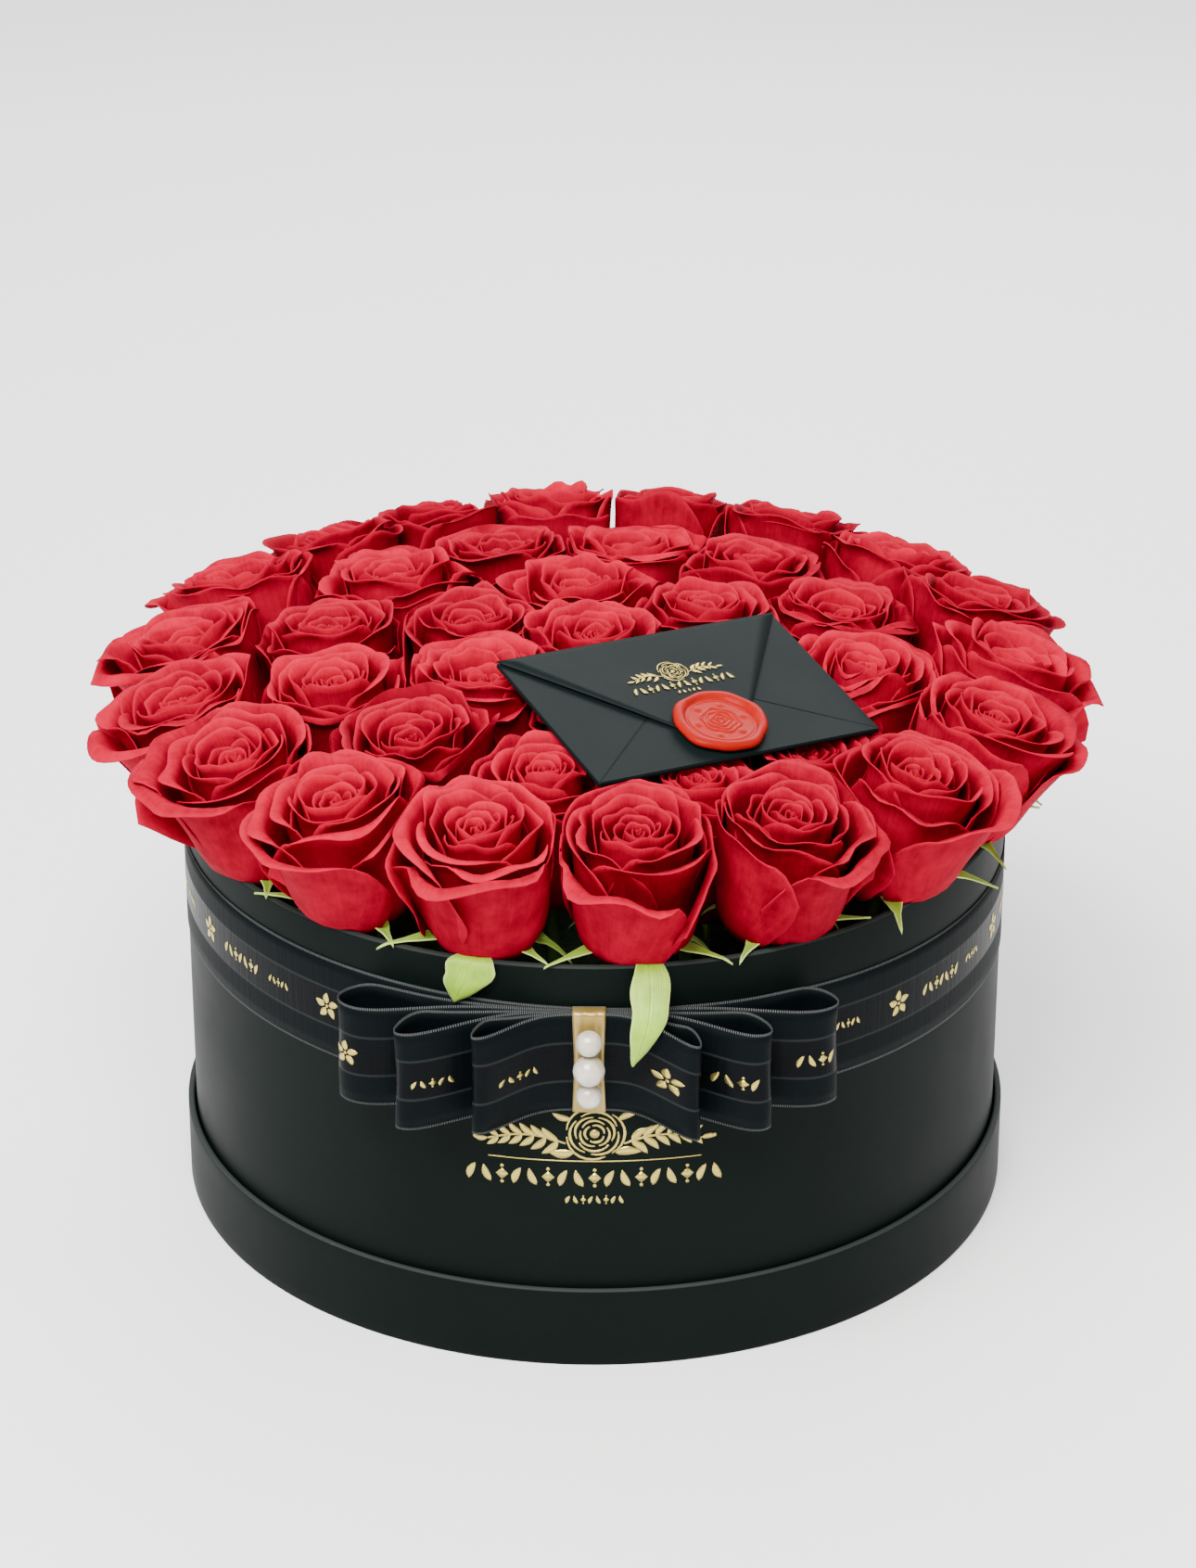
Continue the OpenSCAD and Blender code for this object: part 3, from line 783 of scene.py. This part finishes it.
def printRun(bm, end):
    at = prints["first"]
    while at < end:
        if at + 27 < end:
            foilFlower(bm, at, 0, prints["flower"])
        if at + 44 < end:
            foilRow(bm, at + prints["wideAt"], 0, prints["wide"], 5.0, 7)
        if at + 62 < end:
            foilRow(bm, at + prints["narrowAt"], 0.2, prints["narrow"], 3.2, 5)
        at += prints["pitch"]


def onBand(x, y):
    turn = degrees(x / ribbon["innerR"]) + prints["fromTurn"]
    return bandPoint(turn, y, ribbon["thickness"] + prints["lift"])


bandPrints = newShape()
printRun(bandPrints, tau * ribbon["innerR"] - prints["spare"])
layFoil("ribbonPrints", bandPrints, onBand, "box")


def onLoop(loop, share):
    # share is how far out along the loop's outer face the print sits
    side, reach = loop[0], loop[1]

    def surface(x, y):
        along = pinch + (reach - pinch) * share + side * x
        cosine = 1 - 2 * (along - pinch) / (reach - pinch)
        turn = acos(max(-1.0, min(1.0, cosine)))
        return loopPoint(loop, turn, y, ribbon["thickness"] / 2 + 0.1)

    return surface


bowPrints = {"left_long": (0.93, "flower"), "left_middle": (0.8, "row"), "left_short": (0.62, "row"),
             "right_long": (0.88, "wide"), "right_middle": (0.8, "wide"), "right_short": (0.72, "flower")}
for loopName, (share, kind) in bowPrints.items():
    shape = newShape()
    if kind == "flower":
        foilFlower(shape, 0, 0, 9.5)
    elif kind == "row":
        foilRow(shape, 0, -1.5, 11, 3.2, 5)
    else:
        foilRow(shape, 0, -0.5, 13, 5.0, 4)
    layFoil("loopPrint_" + loopName, shape, onLoop(bow[loopName], share), "box", thickness=0.02)


print("roses")

rose = {"tall": 45.0, "foot": 5.0, "cupTop": 16.0, "wall": 0.4, "gap": 0.45, "press": 0.8,
        "spread": 180.0, "spreadRoom": 9.5}

# Each layer: radius, height where the rim turns, size of the turn, how far it turns, half width, petals
layers = ((4.4, 45.6, 1.0, 8, 124, 2), (6.6, 46.8, 1.2, 20, 108, 3), (9.4, 47.2, 1.4, 34, 96, 3),
          (12.6, 46.6, 1.8, 52, 88, 3), (16.0, 44.8, 2.3, 74, 80, 3), (19.4, 41.4, 2.8, 92, 78, 3),
          (22.4, 36.8, 3.5, 104, 76, 3))

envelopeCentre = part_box("envelope_pocket")
envelopeCentre = (envelopeCentre[0] + envelopeCentre[1]) / 2 / mm
envelopeTurn = Euler([radians(a) for a in (13.5, 3.4, 31)]).to_matrix()
envelope = {"long": 116.0, "wide": 74.0, "thick": 2.0, "bodyZ": -0.175, "sidesZ": 0.6, "frontZ": 0.76,
            "paper": 0.14, "flapZ": 1.36, "flapLong": 69.2, "flapPaper": 0.36, "printZ": 1.98}


def underEnvelope(point):
    # How far a point may rise: the height of the envelope's underside, less some air
    local = envelopeTurn.transposed() @ (point - envelopeCentre)
    beyond = max(abs(local.x) - envelope["long"] / 2, abs(local.y) - envelope["wide"] / 2)
    normal = envelopeTurn @ Vector((0, 0, 1))
    away = point - envelopeCentre
    level = envelopeCentre.z - (normal.x * away.x + normal.y * away.y) / normal.z
    return level - envelope["thick"] / 2 - 0.9 + max(0.0, beyond - 1.5) * 1.4


leans = {"outer": 14.5, "middle": 7.9, "inner": 2.8, "centre": 0.0}


def headFrame(node):
    # The foot's middle and the axis of a head, read from its CAD solid
    points = [vert.co / mm for vert in nodes[node].data.vertices]
    low = min(points, key=lambda p: p.z)
    middle = sum(points, Vector()) / len(points)
    lean = leans[node.split("_")[1]]
    turn = atan2(middle.y, middle.x)
    tilt = radians(lean)
    axis = Vector((sin(tilt) * cos(turn), sin(tilt) * sin(turn), cos(tilt)))
    lowest = min((p - low).dot(axis) for p in points)
    footPoints = [p for p in points if (p - low).dot(axis) < lowest + 0.8]
    foot = sum(footPoints, Vector()) / len(footPoints)
    if node.startswith("rose_outer"):
        axis = (middle - foot).normalized()
    return foot, axis


heads = {name: headFrame(name) for name in sorted(nodes) if name.startswith("rose_")}


def bloomAxis(name):
    # Blooms at the front stand a little more upright than their solids, those at the sides lean out
    foot, axis = heads[name]
    if not name.startswith("rose_outer"):
        return axis
    outward = Vector((foot.x, foot.y, 0)).normalized()
    upright = 0.42 * max(0.0, -outward.y) ** 2
    return (axis + Vector((0, 0, upright)) + outward * 0.1 * abs(outward.x) ** 1.5).normalized()


blooms = {name: (foot, bloomAxis(name)) for name, (foot, axis) in heads.items()}


def neighboursOf(name):
    foot, axis = blooms[name]
    near = []
    for other, (otherFoot, otherAxis) in blooms.items():
        away = otherFoot + otherAxis * 30 - foot - axis * 30
        if other != name and hypot(away.x, away.y) < 64:
            near.append((otherFoot, otherAxis))
    return near


def pressed(point, foot, axis, near):
    # Neighbouring heads press flat against each other halfway between their axes
    rise = (point.z - foot.z) / axis.z
    own = foot + axis * rise
    for otherFoot, otherAxis in near:
        theirs = otherFoot + otherAxis * ((point.z - otherFoot.z) / otherAxis.z)
        across = Vector((theirs.x - own.x, theirs.y - own.y, 0))
        half = across.length / 2 - rose["gap"]
        across.normalize()
        reach = (point - own).dot(across)
        soft = half * rose["press"]
        if reach > soft:
            room = half - soft
            point = point + across * (soft + room * (1 - exp(-(reach - soft) / room)) - reach)
    reach = hypot(point.x, point.y)
    rim = shell["rimZ"] + 0.8
    if point.z < rim and reach > shell["boxInside"] - 0.8:
        # petals lie over the rim or stay inside it
        inner = shell["boxInside"] - 0.8
        if rim - point.z < reach - inner:
            point = Vector((point.x, point.y, rim))
        else:
            point = Vector((point.x * inner / reach, point.y * inner / reach, point.z))
    reach = hypot(point.x, point.y)
    if reach > rose["spread"]:
        # the outermost petals curl up rather than reach further
        further = rose["spreadRoom"] * (1 - exp((rose["spread"] - reach) / rose["spreadRoom"]))
        scale = (rose["spread"] + further) / reach
        point = Vector((point.x * scale, point.y * scale, point.z))
    ceiling = underEnvelope(point)
    if point.z > ceiling - 2:
        point = Vector((point.x, point.y, ceiling - 2 * exp(-(point.z - ceiling + 2) / 2)))
    return point


def petalShape(layer, share, dice):
    # The figures of one petal. share is how far out its layer is, from 0 to 1
    radius, rimZ, turnSize, tip, half, count = layer
    return {"radius": radius * dice.uniform(0.97, 1.04),
            "rimZ": rimZ + dice.uniform(-2.6, 1.6) * (0.4 + share),
            "turnSize": turnSize * dice.uniform(0.8, 1.3),
            "tip": tip * dice.uniform(0.7, 1.25) + dice.uniform(-8, 8),
            "half": half * dice.uniform(0.92, 1.08),
            "base": rose["foot"] * (0.35 + 0.6 * share),
            "lap": 0.9 + 0.5 * share,
            "sideRoll": dice.uniform(0.1, 1.0) * (0.5 + 6.0 * share ** 2),
            "handed": dice.uniform(-1, 1),
            "ruffle": dice.uniform(0.4, 1.3) * (0.4 + 1.5 * share ** 2),
            "waves": dice.uniform(4.5, 9.5),
            "phase": dice.uniform(0, tau),
            "point": dice.uniform(0.0, 1.6) * (0.4 + share),
            "open": dice.uniform(-0.2, 1.0) * (0.5 + 1.6 * share) + 3.4 * share ** 3,
            "twist": dice.uniform(-4, 4),
            "tail": dice.uniform(0.2, 1.0) * (0.4 + 1.6 * share),
            "sideDrop": dice.uniform(0.5, 3.5) * share,
            "bulge": dice.uniform(0.0, 1.2) * share,
            "lean": dice.uniform(-4.5, 4.5) * share,
            "deep": share}


def petalPoint(f, a, t):
    # a runs across the petal from -1 to 1 and t from its foot to its edge, from 0 to 1
    side = abs(a)
    cup = rose["cupTop"] - 3.5 * f["deep"]
    base = f["base"]
    rimZ = f["rimZ"] - f["sideDrop"] * side ** 2 + f["lean"] * a
    tip = radians(f["tip"])
    first = hypot(f["radius"] - base, cup) * 1.12
    second = rimZ - cup
    third = abs(tip) * f["turnSize"]
    top = 1 - 0.05 * a * a - 0.24 * side ** 6 + 0.006 * f["point"] * max(0.0, 1 - 5 * side)
    top += 0.007 * f["ruffle"] * sin(f["waves"] * 1.7 * a + f["phase"] * 2)
    way = t * (first + second + third + f["tail"]) * top
    flare = f["open"]
    if way < first:
        q = way / first * pi / 2
        r = base + (f["radius"] - base) * sin(q) ** (1 - 0.35 * f["deep"])
        z = cup * (1 - cos(q)) ** (1 + 0.25 * f["deep"])
        if way < 0.8 * first:
            # the outer petals bulge down round the foot
            z -= 4.6 * f["deep"] * sin(pi * min(1.0, 1.25 * way / first)) ** 0.8
    elif way < first + second:
        s = (way - first) / second
        r = f["radius"] + flare * s * s + f["bulge"] * sin(pi * s)
        z = cup + way - first
    else:
        turned = (way - first - second) / f["turnSize"]
        bend = min(turned, abs(tip))
        sign = 1 if tip > 0 else -1
        rest = max(0.0, turned - abs(tip)) * f["turnSize"]
        r = f["radius"] + flare + sign * (f["turnSize"] * (1 - cos(bend)) + rest * sin(bend))
        z = rimZ + f["turnSize"] * sin(bend) + rest * cos(bend)
    rise = min(1.0, t)
    widest = 0.55 + 0.25 * f["deep"]
    spread = 0.32 + 0.68 * sin(pi / 2 * min(1.0, t / widest))
    a1 = radians(f["half"]) * spread * a + radians(f["twist"]) * rise
    r += f["lap"] * a * min(1.0, 2.5 * t)
    roll = f["sideRoll"] * (1 + 0.8 * f["handed"] * (1 if a > 0 else -1))
    folded = max(0.0, (side - 0.5) / 0.5) ** 1.6 * max(0.0, (t - 0.35) / 0.65) ** 1.2
    r += roll * folded
    z -= 0.45 * roll * folded
    wave = f["ruffle"] * rise ** 6
    r += wave * sin(f["waves"] * a + f["phase"])
    z += 0.7 * wave * cos(f["waves"] * 1.3 * a + f["phase"] * 1.7)
    r -= 0.35 * exp(-(a / 0.09) ** 2) * min(1.0, 3 * t) * (1 - 0.6 * rise)
    return r, a1, z


def setTone(bm, verts, tone, share):
    layer = bm.loops.layers.uv["tone"]
    for vert in verts:
        for loop in vert.link_loops:
            loop[layer].uv = (tone, share)


def addPetal(bm, figures, turn, tone, share, columns, rows, place, start):
    def at(u, v):
        t = start + (1 - start) * (v + 1) / 2
        r, a, z = petalPoint(figures, u, t)
        return place(r, turn + a, z)

    setTone(bm, sheetGrid(bm, columns, rows, at), tone, share)


def heartPetal(bm, dice, tone, sunk, place):
    # The rolled middle of a head: one long petal wound round itself
    wound = dice.uniform(250, 300)
    phase = dice.uniform(0, tau)

    def at(u, v):
        t = (v + 1) / 2
        a = radians(wound) * u + phase
        r = 2.1 + 1.1 * u + 0.5 * t - 0.9 * t ** 4
        z = 24 + (21.6 - sunk) * t + 0.9 * sin(2.2 * a) * t ** 5 - 0.8 * u * t
        return place(r, a, z)

    setTone(bm, sheetGrid(bm, 30, 7, at), tone, 0.0)


def makeHead(name, foot, axis, near, dice):
    bm = newShape()
    bm.loops.layers.uv.new("tone")
    side = Vector((axis.x, axis.y, 0))
    if side.length < 0.01:
        side = Vector((foot.x, foot.y + 0.01, 0))
    side = (side - axis * side.dot(axis)).normalized()
    across = axis.cross(side)
    spin = dice.uniform(0, tau)
    openness = dice.uniform(0.0, 0.7) if foot.y < -80 else dice.uniform(0.45, 1.0)
    tallness = dice.uniform(0.97, 1.03)
    outward = Vector((foot.x, foot.y, 0)) / shell["boxR"]
    stretch = 0.0
    if name.startswith("rose_outer"):
        tallness += 0.07 * max(0.0, outward.y)
        stretch = 0.08 + 0.12 * abs(outward.x) + 0.06 * max(0.0, outward.y)
    outward.normalize()
    ownTone = dice.uniform(0.36, 0.62)

    def place(r, a, z):
        a += spin
        arm = (side * cos(a) + across * sin(a)) * r
        loose = max(0.0, arm.dot(outward)) * stretch * min(1.0, z / 30)
        point = foot + axis * (z * tallness) + arm + outward * loose
        return pressed(point, foot, axis, near)

    heartPetal(bm, dice, ownTone, 6.0 * openness, place)
    turn = 0.0
    for index, layer in enumerate(layers):
        share = (index + 1) / len(layers)
        radius, rimZ, turnSize, tip, half, count = layer
        radius *= 0.88 + 0.24 * openness if index < 4 else 0.97 + 0.06 * openness
        rimZ -= 6.5 * openness * (1 - share) - 3.6 * openness * share ** 3 + 0.8 * share
        tip *= 0.75 + 0.45 * openness
        turn += radians(360 / count / 2 + dice.uniform(10, 30))
        for petal in range(count):
            figures = petalShape((radius, rimZ, turnSize, tip, half, count), share, dice)
            tone = ownTone + dice.uniform(-0.1, 0.1)
            start = 0.34 * (1 - share)
            at = turn + tau * petal / count + dice.uniform(-0.3, 0.3) * share
            columns, rows = (23, 14) if index >= 4 else (17, 10)
            addPetal(bm, figures, at, tone, share, columns, rows, place, start)
    piece = buildPiece("head" + name[4:], bm, [petalInside, petalOutside], "insert", [name],
                       sharpAngle=75)
    thicken(piece, rose["wall"], 0.0, 1)


for index, (name, (foot, axis)) in enumerate(blooms.items()):
    makeHead(name, foot, axis, neighboursOf(name), random.Random(400 + index))


print("sepals")

# Ranges of length and width, and how far a rim sepal is turned from its head's outward way
sepals = {"long": (22, 31), "wide": (5.6, 7.6), "innerLong": (12, 17), "innerWide": 5.0, "rimLong": (28, 36),
          "rimWide": (7.0, 9.5), "rimTurn": (42, 70), "wall": 0.5}
calyx = ((0.0, -7.0), (3.05, -7.0), (3.6, -5.6), (4.5, -3.9), (5.1, -1.8), (5.35, -0.1), (4.2, 0.0),
         (0.0, -0.3))


def addCalyx(bm, foot, axis):
    turn = Vector((0, 0, 1)).rotation_difference(axis).to_matrix()
    spun(bm, calyx, 16)
    # all that is already in its place is tagged
    for vert in bm.verts:
        if not vert.tag:
            vert.co = turn @ vert.co + foot
            vert.tag = True


def addLeaf(bm, columns, rows, place):
    for vert in sheetGrid(bm, columns, rows, place):
        vert.tag = True


def addSepal(bm, foot, axis, turn, long, wide, droop, curl, dice):
    side = Matrix.Rotation(turn, 3, "Z") @ Vector((1, 0, 0))
    side = (side - axis * side.dot(axis)).normalized()
    across = axis.cross(side)
    barbs = dice.uniform(0.5, 1.4)
    phase = dice.uniform(0, 6)

    def at(u, v):
        t = (v + 1) / 2
        half = wide / 2 * (1 - t) ** 0.75 * (0.75 + 0.6 * sin(pi * min(1.0, t * 1.7)))
        half += barbs * 0.4 * max(0.0, sin(17 * t + phase)) * (1 - t) * abs(u)
        angle = droop * t + curl * t * t
        out = 4.9 + long * t * cos(angle)
        up = -0.9 - long * t * sin(angle) + 0.9 * u * u * (1 - t)
        sway = 1.3 * sin(2.6 * t + phase) * t
        point = foot + side * out + axis * up + across * (u * half + sway)
        if hypot(point.x, point.y) > shell["boxInside"] - 1.2:
            point.z = max(point.z, shell["rimZ"] + 0.7 + 0.5 * u * u)
        return point

    addLeaf(bm, 4, 12, at)


sepalShape = newShape()
dice = random.Random(71)
for name, (foot, axis) in heads.items():
    addCalyx(sepalShape, foot, axis)
    first = dice.uniform(0, tau)
    outward = atan2(axis.y, axis.x)
    for leaf in range(5):
        turn = first + tau * leaf / 5 + dice.uniform(-0.2, 0.2)
        facing = cos(turn - outward)
        if not name.startswith("rose_outer"):
            addSepal(sepalShape, foot, axis, turn, dice.uniform(*sepals["innerLong"]), sepals["innerWide"],
                     0.5, 0.5, dice)
        elif facing < 0.2:
            # the sepals on the wall's side lie over the rim and are made below
            addSepal(sepalShape, foot, axis, turn, dice.uniform(*sepals["long"]),
                     dice.uniform(*sepals["wide"]), 0.35, 0.2, dice)


def addRimSepal(bm, foot, turn, long, wide, dice):
    # Lies flat over the rim beside its head and bends down a little past the wall
    forward = Vector((cos(turn), sin(turn), 0))
    across = Vector((-forward.y, forward.x, 0))
    bow = dice.uniform(-4.0, 4.0)
    barbs = dice.uniform(0.2, 0.5)

    def at(u, v):
        t = (v + 1) / 2
        half = wide / 2 * (1 - t ** 2.2) * (0.55 + 0.45 * sin(pi * min(1.0, t * 1.4)))
        half += barbs * max(0.0, sin(19 * t + bow)) * (1 - t)
        point = foot + forward * (4.4 + long * t) + across * (u * half + bow * t * t)
        past = max(0.0, hypot(point.x, point.y) - shell["boxR"] - 2)
        point.z = shell["rimZ"] + 0.9 + 0.5 * u * u + 0.5 * (1 - t) - 0.45 * past
        return point

    addLeaf(bm, 6, 18, at)


for name, (foot, axis) in heads.items():
    if name.startswith("rose_outer"):
        for way in (-1, 1):
            turn = atan2(axis.y, axis.x) + way * radians(dice.uniform(*sepals["rimTurn"]))
            addRimSepal(sepalShape, foot, turn, dice.uniform(*sepals["rimLong"]),
                        dice.uniform(*sepals["rimWide"]), dice)


# Two sepals hang in front of the wall: width, drop, how far out, sideways slide, turn in degrees
hanging = {"rose_outer_01": (13.5, 27, 15.0, -7.5, 1.0), "rose_outer_18": (18.0, 13.5, 1.5, -5.5, 0.5)}


def addHangingSepal(bm, turn, wide, drop, out, slide):
    # Runs flat over the rim, then hangs in front of the wall: broad in the middle and pointed
    top = shell["rimZ"] + 0.75
    bend = 2.4
    flat = 9.0
    length = flat + bend * pi / 2 + drop
    forward = Vector((cos(turn), sin(turn), 0))
    across = Vector((-forward.y, forward.x, 0))

    def at(u, v):
        t = (v + 1) / 2
        way = t * length
        if way < flat:
            away, z = way - flat - bend, 0.0
        elif way < flat + bend * pi / 2:
            q = (way - flat) / bend
            away, z = bend * sin(q) - bend, bend * cos(q) - bend
        else:
            away, z = 0.0, flat + bend * pi / 2 - way - bend
        s = max(0.0, (way - flat) / (length - flat))
        half = wide / 2 * (0.58 + 0.42 * sin(pi * min(0.69, s * 1.6 + 0.05)))
        if s > 0.4:
            half *= (1 - ((s - 0.4) / 0.6) ** 1.6) ** 0.9
        half = max(0.15, half * (1 + 0.05 * sin(21 * t + u)))
        away += 0.4 + out * sin(pi / 2 * min(1.0, s / 0.75)) ** 1.4
        away += 0.9 * (1 - u * u) * s - 1.2 * max(0.0, s - 0.7)
        skew = slide * s * s + 0.5 * sin(6 * s) * s
        return forward * (shell["boxR"] + 0.9 + away) + across * (u * half + skew) + Vector((0, 0, top + z))

    addLeaf(bm, 10, 26, at)


for name, (wide, drop, out, slide, shift) in hanging.items():
    foot, axis = heads[name]
    addHangingSepal(sepalShape, atan2(axis.y, axis.x) + radians(shift), wide, drop, out, slide)
closeUp(sepalShape, 0.005)
sepalPiece = buildPiece("sepalSet", sepalShape, [sepalGreen], "insert", ["sepals"])
thicken(sepalPiece, sepals["wall"], 0.0)


print("envelope and seal")


def inEnvelope(x, y, z):
    return envelopeCentre + envelopeTurn @ Vector((x, y, z))


def envelopePanel(bm, outline, z):
    # A flat panel of paper: its outline in the envelope's own millimetres
    verts = [bm.verts.new((x, y, z)) for x, y in outline]
    face = bm.faces.new(verts)
    made = bmesh.ops.extrude_face_region(bm, geom=[face])
    upper = [item for item in made["geom"] if isinstance(item, bmesh.types.BMVert)]
    bmesh.ops.translate(bm, verts=upper, vec=(0, 0, envelope["paper"]))


pocketShape = newShape()
body = bmesh.ops.create_cube(pocketShape, size=1)
bmesh.ops.scale(pocketShape, vec=(envelope["long"], envelope["wide"], envelope["thick"] - 0.45),
                verts=body["verts"])
bmesh.ops.translate(pocketShape, vec=(0, 0, envelope["bodyZ"]), verts=body["verts"])
for rounding, least, most in ((0.8, 0.5, 100), (0.42, -1, 0.01)):
    # first the upright edges, then the level ones
    edges = [edge for edge in pocketShape.edges
             if least < abs(edge.verts[0].co.z - edge.verts[1].co.z) < most]
    bmesh.ops.bevel(pocketShape, geom=edges, offset=rounding, segments=3, profile=0.5, affect="EDGES",
                    material=-1)
for side in (-1, 1):
    envelopePanel(pocketShape, [(side * 57.7, 36.4), (side * 57.7, -36.4), (side * 17, -3.5), (side * 14, 0),
                                (side * 17, 4)][::side], envelope["sidesZ"])
envelopePanel(pocketShape, [(-57.4, -36.7), (57.4, -36.7), (10, 0.5), (5, 3.4), (-5, 3.4), (-10, 0.5)],
              envelope["frontZ"])
bmesh.ops.recalc_face_normals(pocketShape, faces=pocketShape.faces)
for vert in pocketShape.verts:
    vert.co = inEnvelope(*vert.co)
buildPiece("envelopePocket", pocketShape, [envelopePaper], "envelope", ["envelope_pocket"],
           sharpAngle=25)

# The flap's edge from its point up to its hinge
flapEdge = ((0, -32.2), (3, -31.2), (5.8, -28.6), (19, -12), (38, 11.6), (57.3, 35.6), (58, 37))
flapShape = newShape()


def flapPoint(u, v):
    # v runs from the hinge to the point, u from side to side
    t = (v + 1) / 2
    y = envelope["wide"] / 2 - t * envelope["flapLong"]
    limit = envelope["long"] / 2
    for (x0, y0), (x1, y1) in zip(flapEdge, flapEdge[1:]):
        if y0 <= y <= y1:
            limit = x0 + (x1 - x0) * (y - y0) / (y1 - y0)
            break
    belly = sin(pi * t)
    z = envelope["flapZ"] + 0.28 * belly * (1 - 0.5 * u * u) + 0.25 * abs(u) ** 3 * belly
    return inEnvelope(u * max(0.02, limit), y, z)


sheetGrid(flapShape, 16, 40, flapPoint)
closeUp(flapShape, 0.03)
flap = buildPiece("envelopeFlap", flapShape, [envelopePaper], "flap", ["envelope_flap"])
thicken(flap, envelope["flapPaper"], 0.0)


def onFlap(x, y):
    return inEnvelope(x + 1, y + 9, envelope["printZ"] + 0.14 * (1 - abs(y) / 30))


crest = newShape()
foilRose(crest, 0, 4.5, 10.5)
for side in (-1, 1):
    foilSprig(crest, side * 5.5, 2.6, 11.5, 7, side, 4)
foilRow(crest, 0, -3.2, 42, 4.2, 14)
foilRow(crest, 0, -7.4, 10, 1.9, 5)
layFoil("flapCrest", crest, onFlap, "flap")

seal = {"at": (1.0, -19.5), "radius": 17.2, "recess": 12.8, "tall": 3.2, "foot": 1.78}
sealPath = ((0.0, 0.0), (0.86, 0.0), (0.97, 0.12), (1.0, 0.36), (0.985, 0.68), (0.94, 0.92), (0.885, 1.0),
            (0.83, 0.97), (0.785, 0.86), (0.755, 0.66), (0.735, 0.6))


def sealStamp(r, a):
    # A rose in relief: nested petals round a middle, inside a thin ring
    rings = 0.0
    for ring in range(4):
        radius = 1.5 + 1.75 * ring
        wander = radius + 0.35 * cos((3 + ring) * a + ring * 1.1)
        rings = max(rings, exp(-((r - wander) / 0.42) ** 2))
    leaves = 0.0
    if r > 7.4:
        leaves = max(0.0, cos(6 * a)) ** 3 * exp(-((r - 9.2) / 1.3) ** 2)
    border = exp(-((r - 11.6) / 0.3) ** 2)
    return 0.42 * max(rings, leaves, border * 0.7)


def sealPoint(u, v):
    a = pi * u
    t = (v + 1) / 2 * (len(sealPath) + 15)
    edge = 1 + 0.035 * sin(2 * a + 0.6) + 0.02 * sin(5 * a + 1.9) + 0.012 * sin(9 * a)
    if t <= len(sealPath) - 1:
        r, z = between(sealPath, t)
        r *= seal["radius"] * (1 + (edge - 1) * min(1.0, max(0.0, (r - 0.74) / 0.2)))
        z *= seal["tall"] * (1 + 0.06 * sin(3 * a + 1) * (1 if z > 0.6 else 0))
    else:
        part = (t - len(sealPath) + 1) / 16
        r = seal["radius"] * 0.735 * (1 - part)
        z = seal["tall"] * 0.55 + sealStamp(r, a)
    return inEnvelope(seal["at"][0] + r * cos(a), seal["at"][1] + r * sin(a), seal["foot"] + z)


sealShape = newShape()
sheetGrid(sealShape, 108, 52, sealPoint)
closeUp(sealShape, 0.01)
buildPiece("waxSeal", sealShape, [sealingWax], "flap", ["wax_seal"], sharpAngle=60)


print("floor")

floorShape = newShape()
sheetGrid(floorShape, 8, 8, lambda a, b: Vector((40000 * a, 40000 * b, -0.02)))
bmesh.ops.scale(floorShape, vec=(mm, mm, mm), verts=floorShape.verts)
floorMesh = bpy.data.meshes.new("studioFloor")
floorShape.to_mesh(floorMesh)
floorShape.free()
floorMesh.materials.append(floorFinish())
floor = bpy.data.objects.new("studioFloor", floorMesh)
bpy.context.collection.objects.link(floor)


print("done")
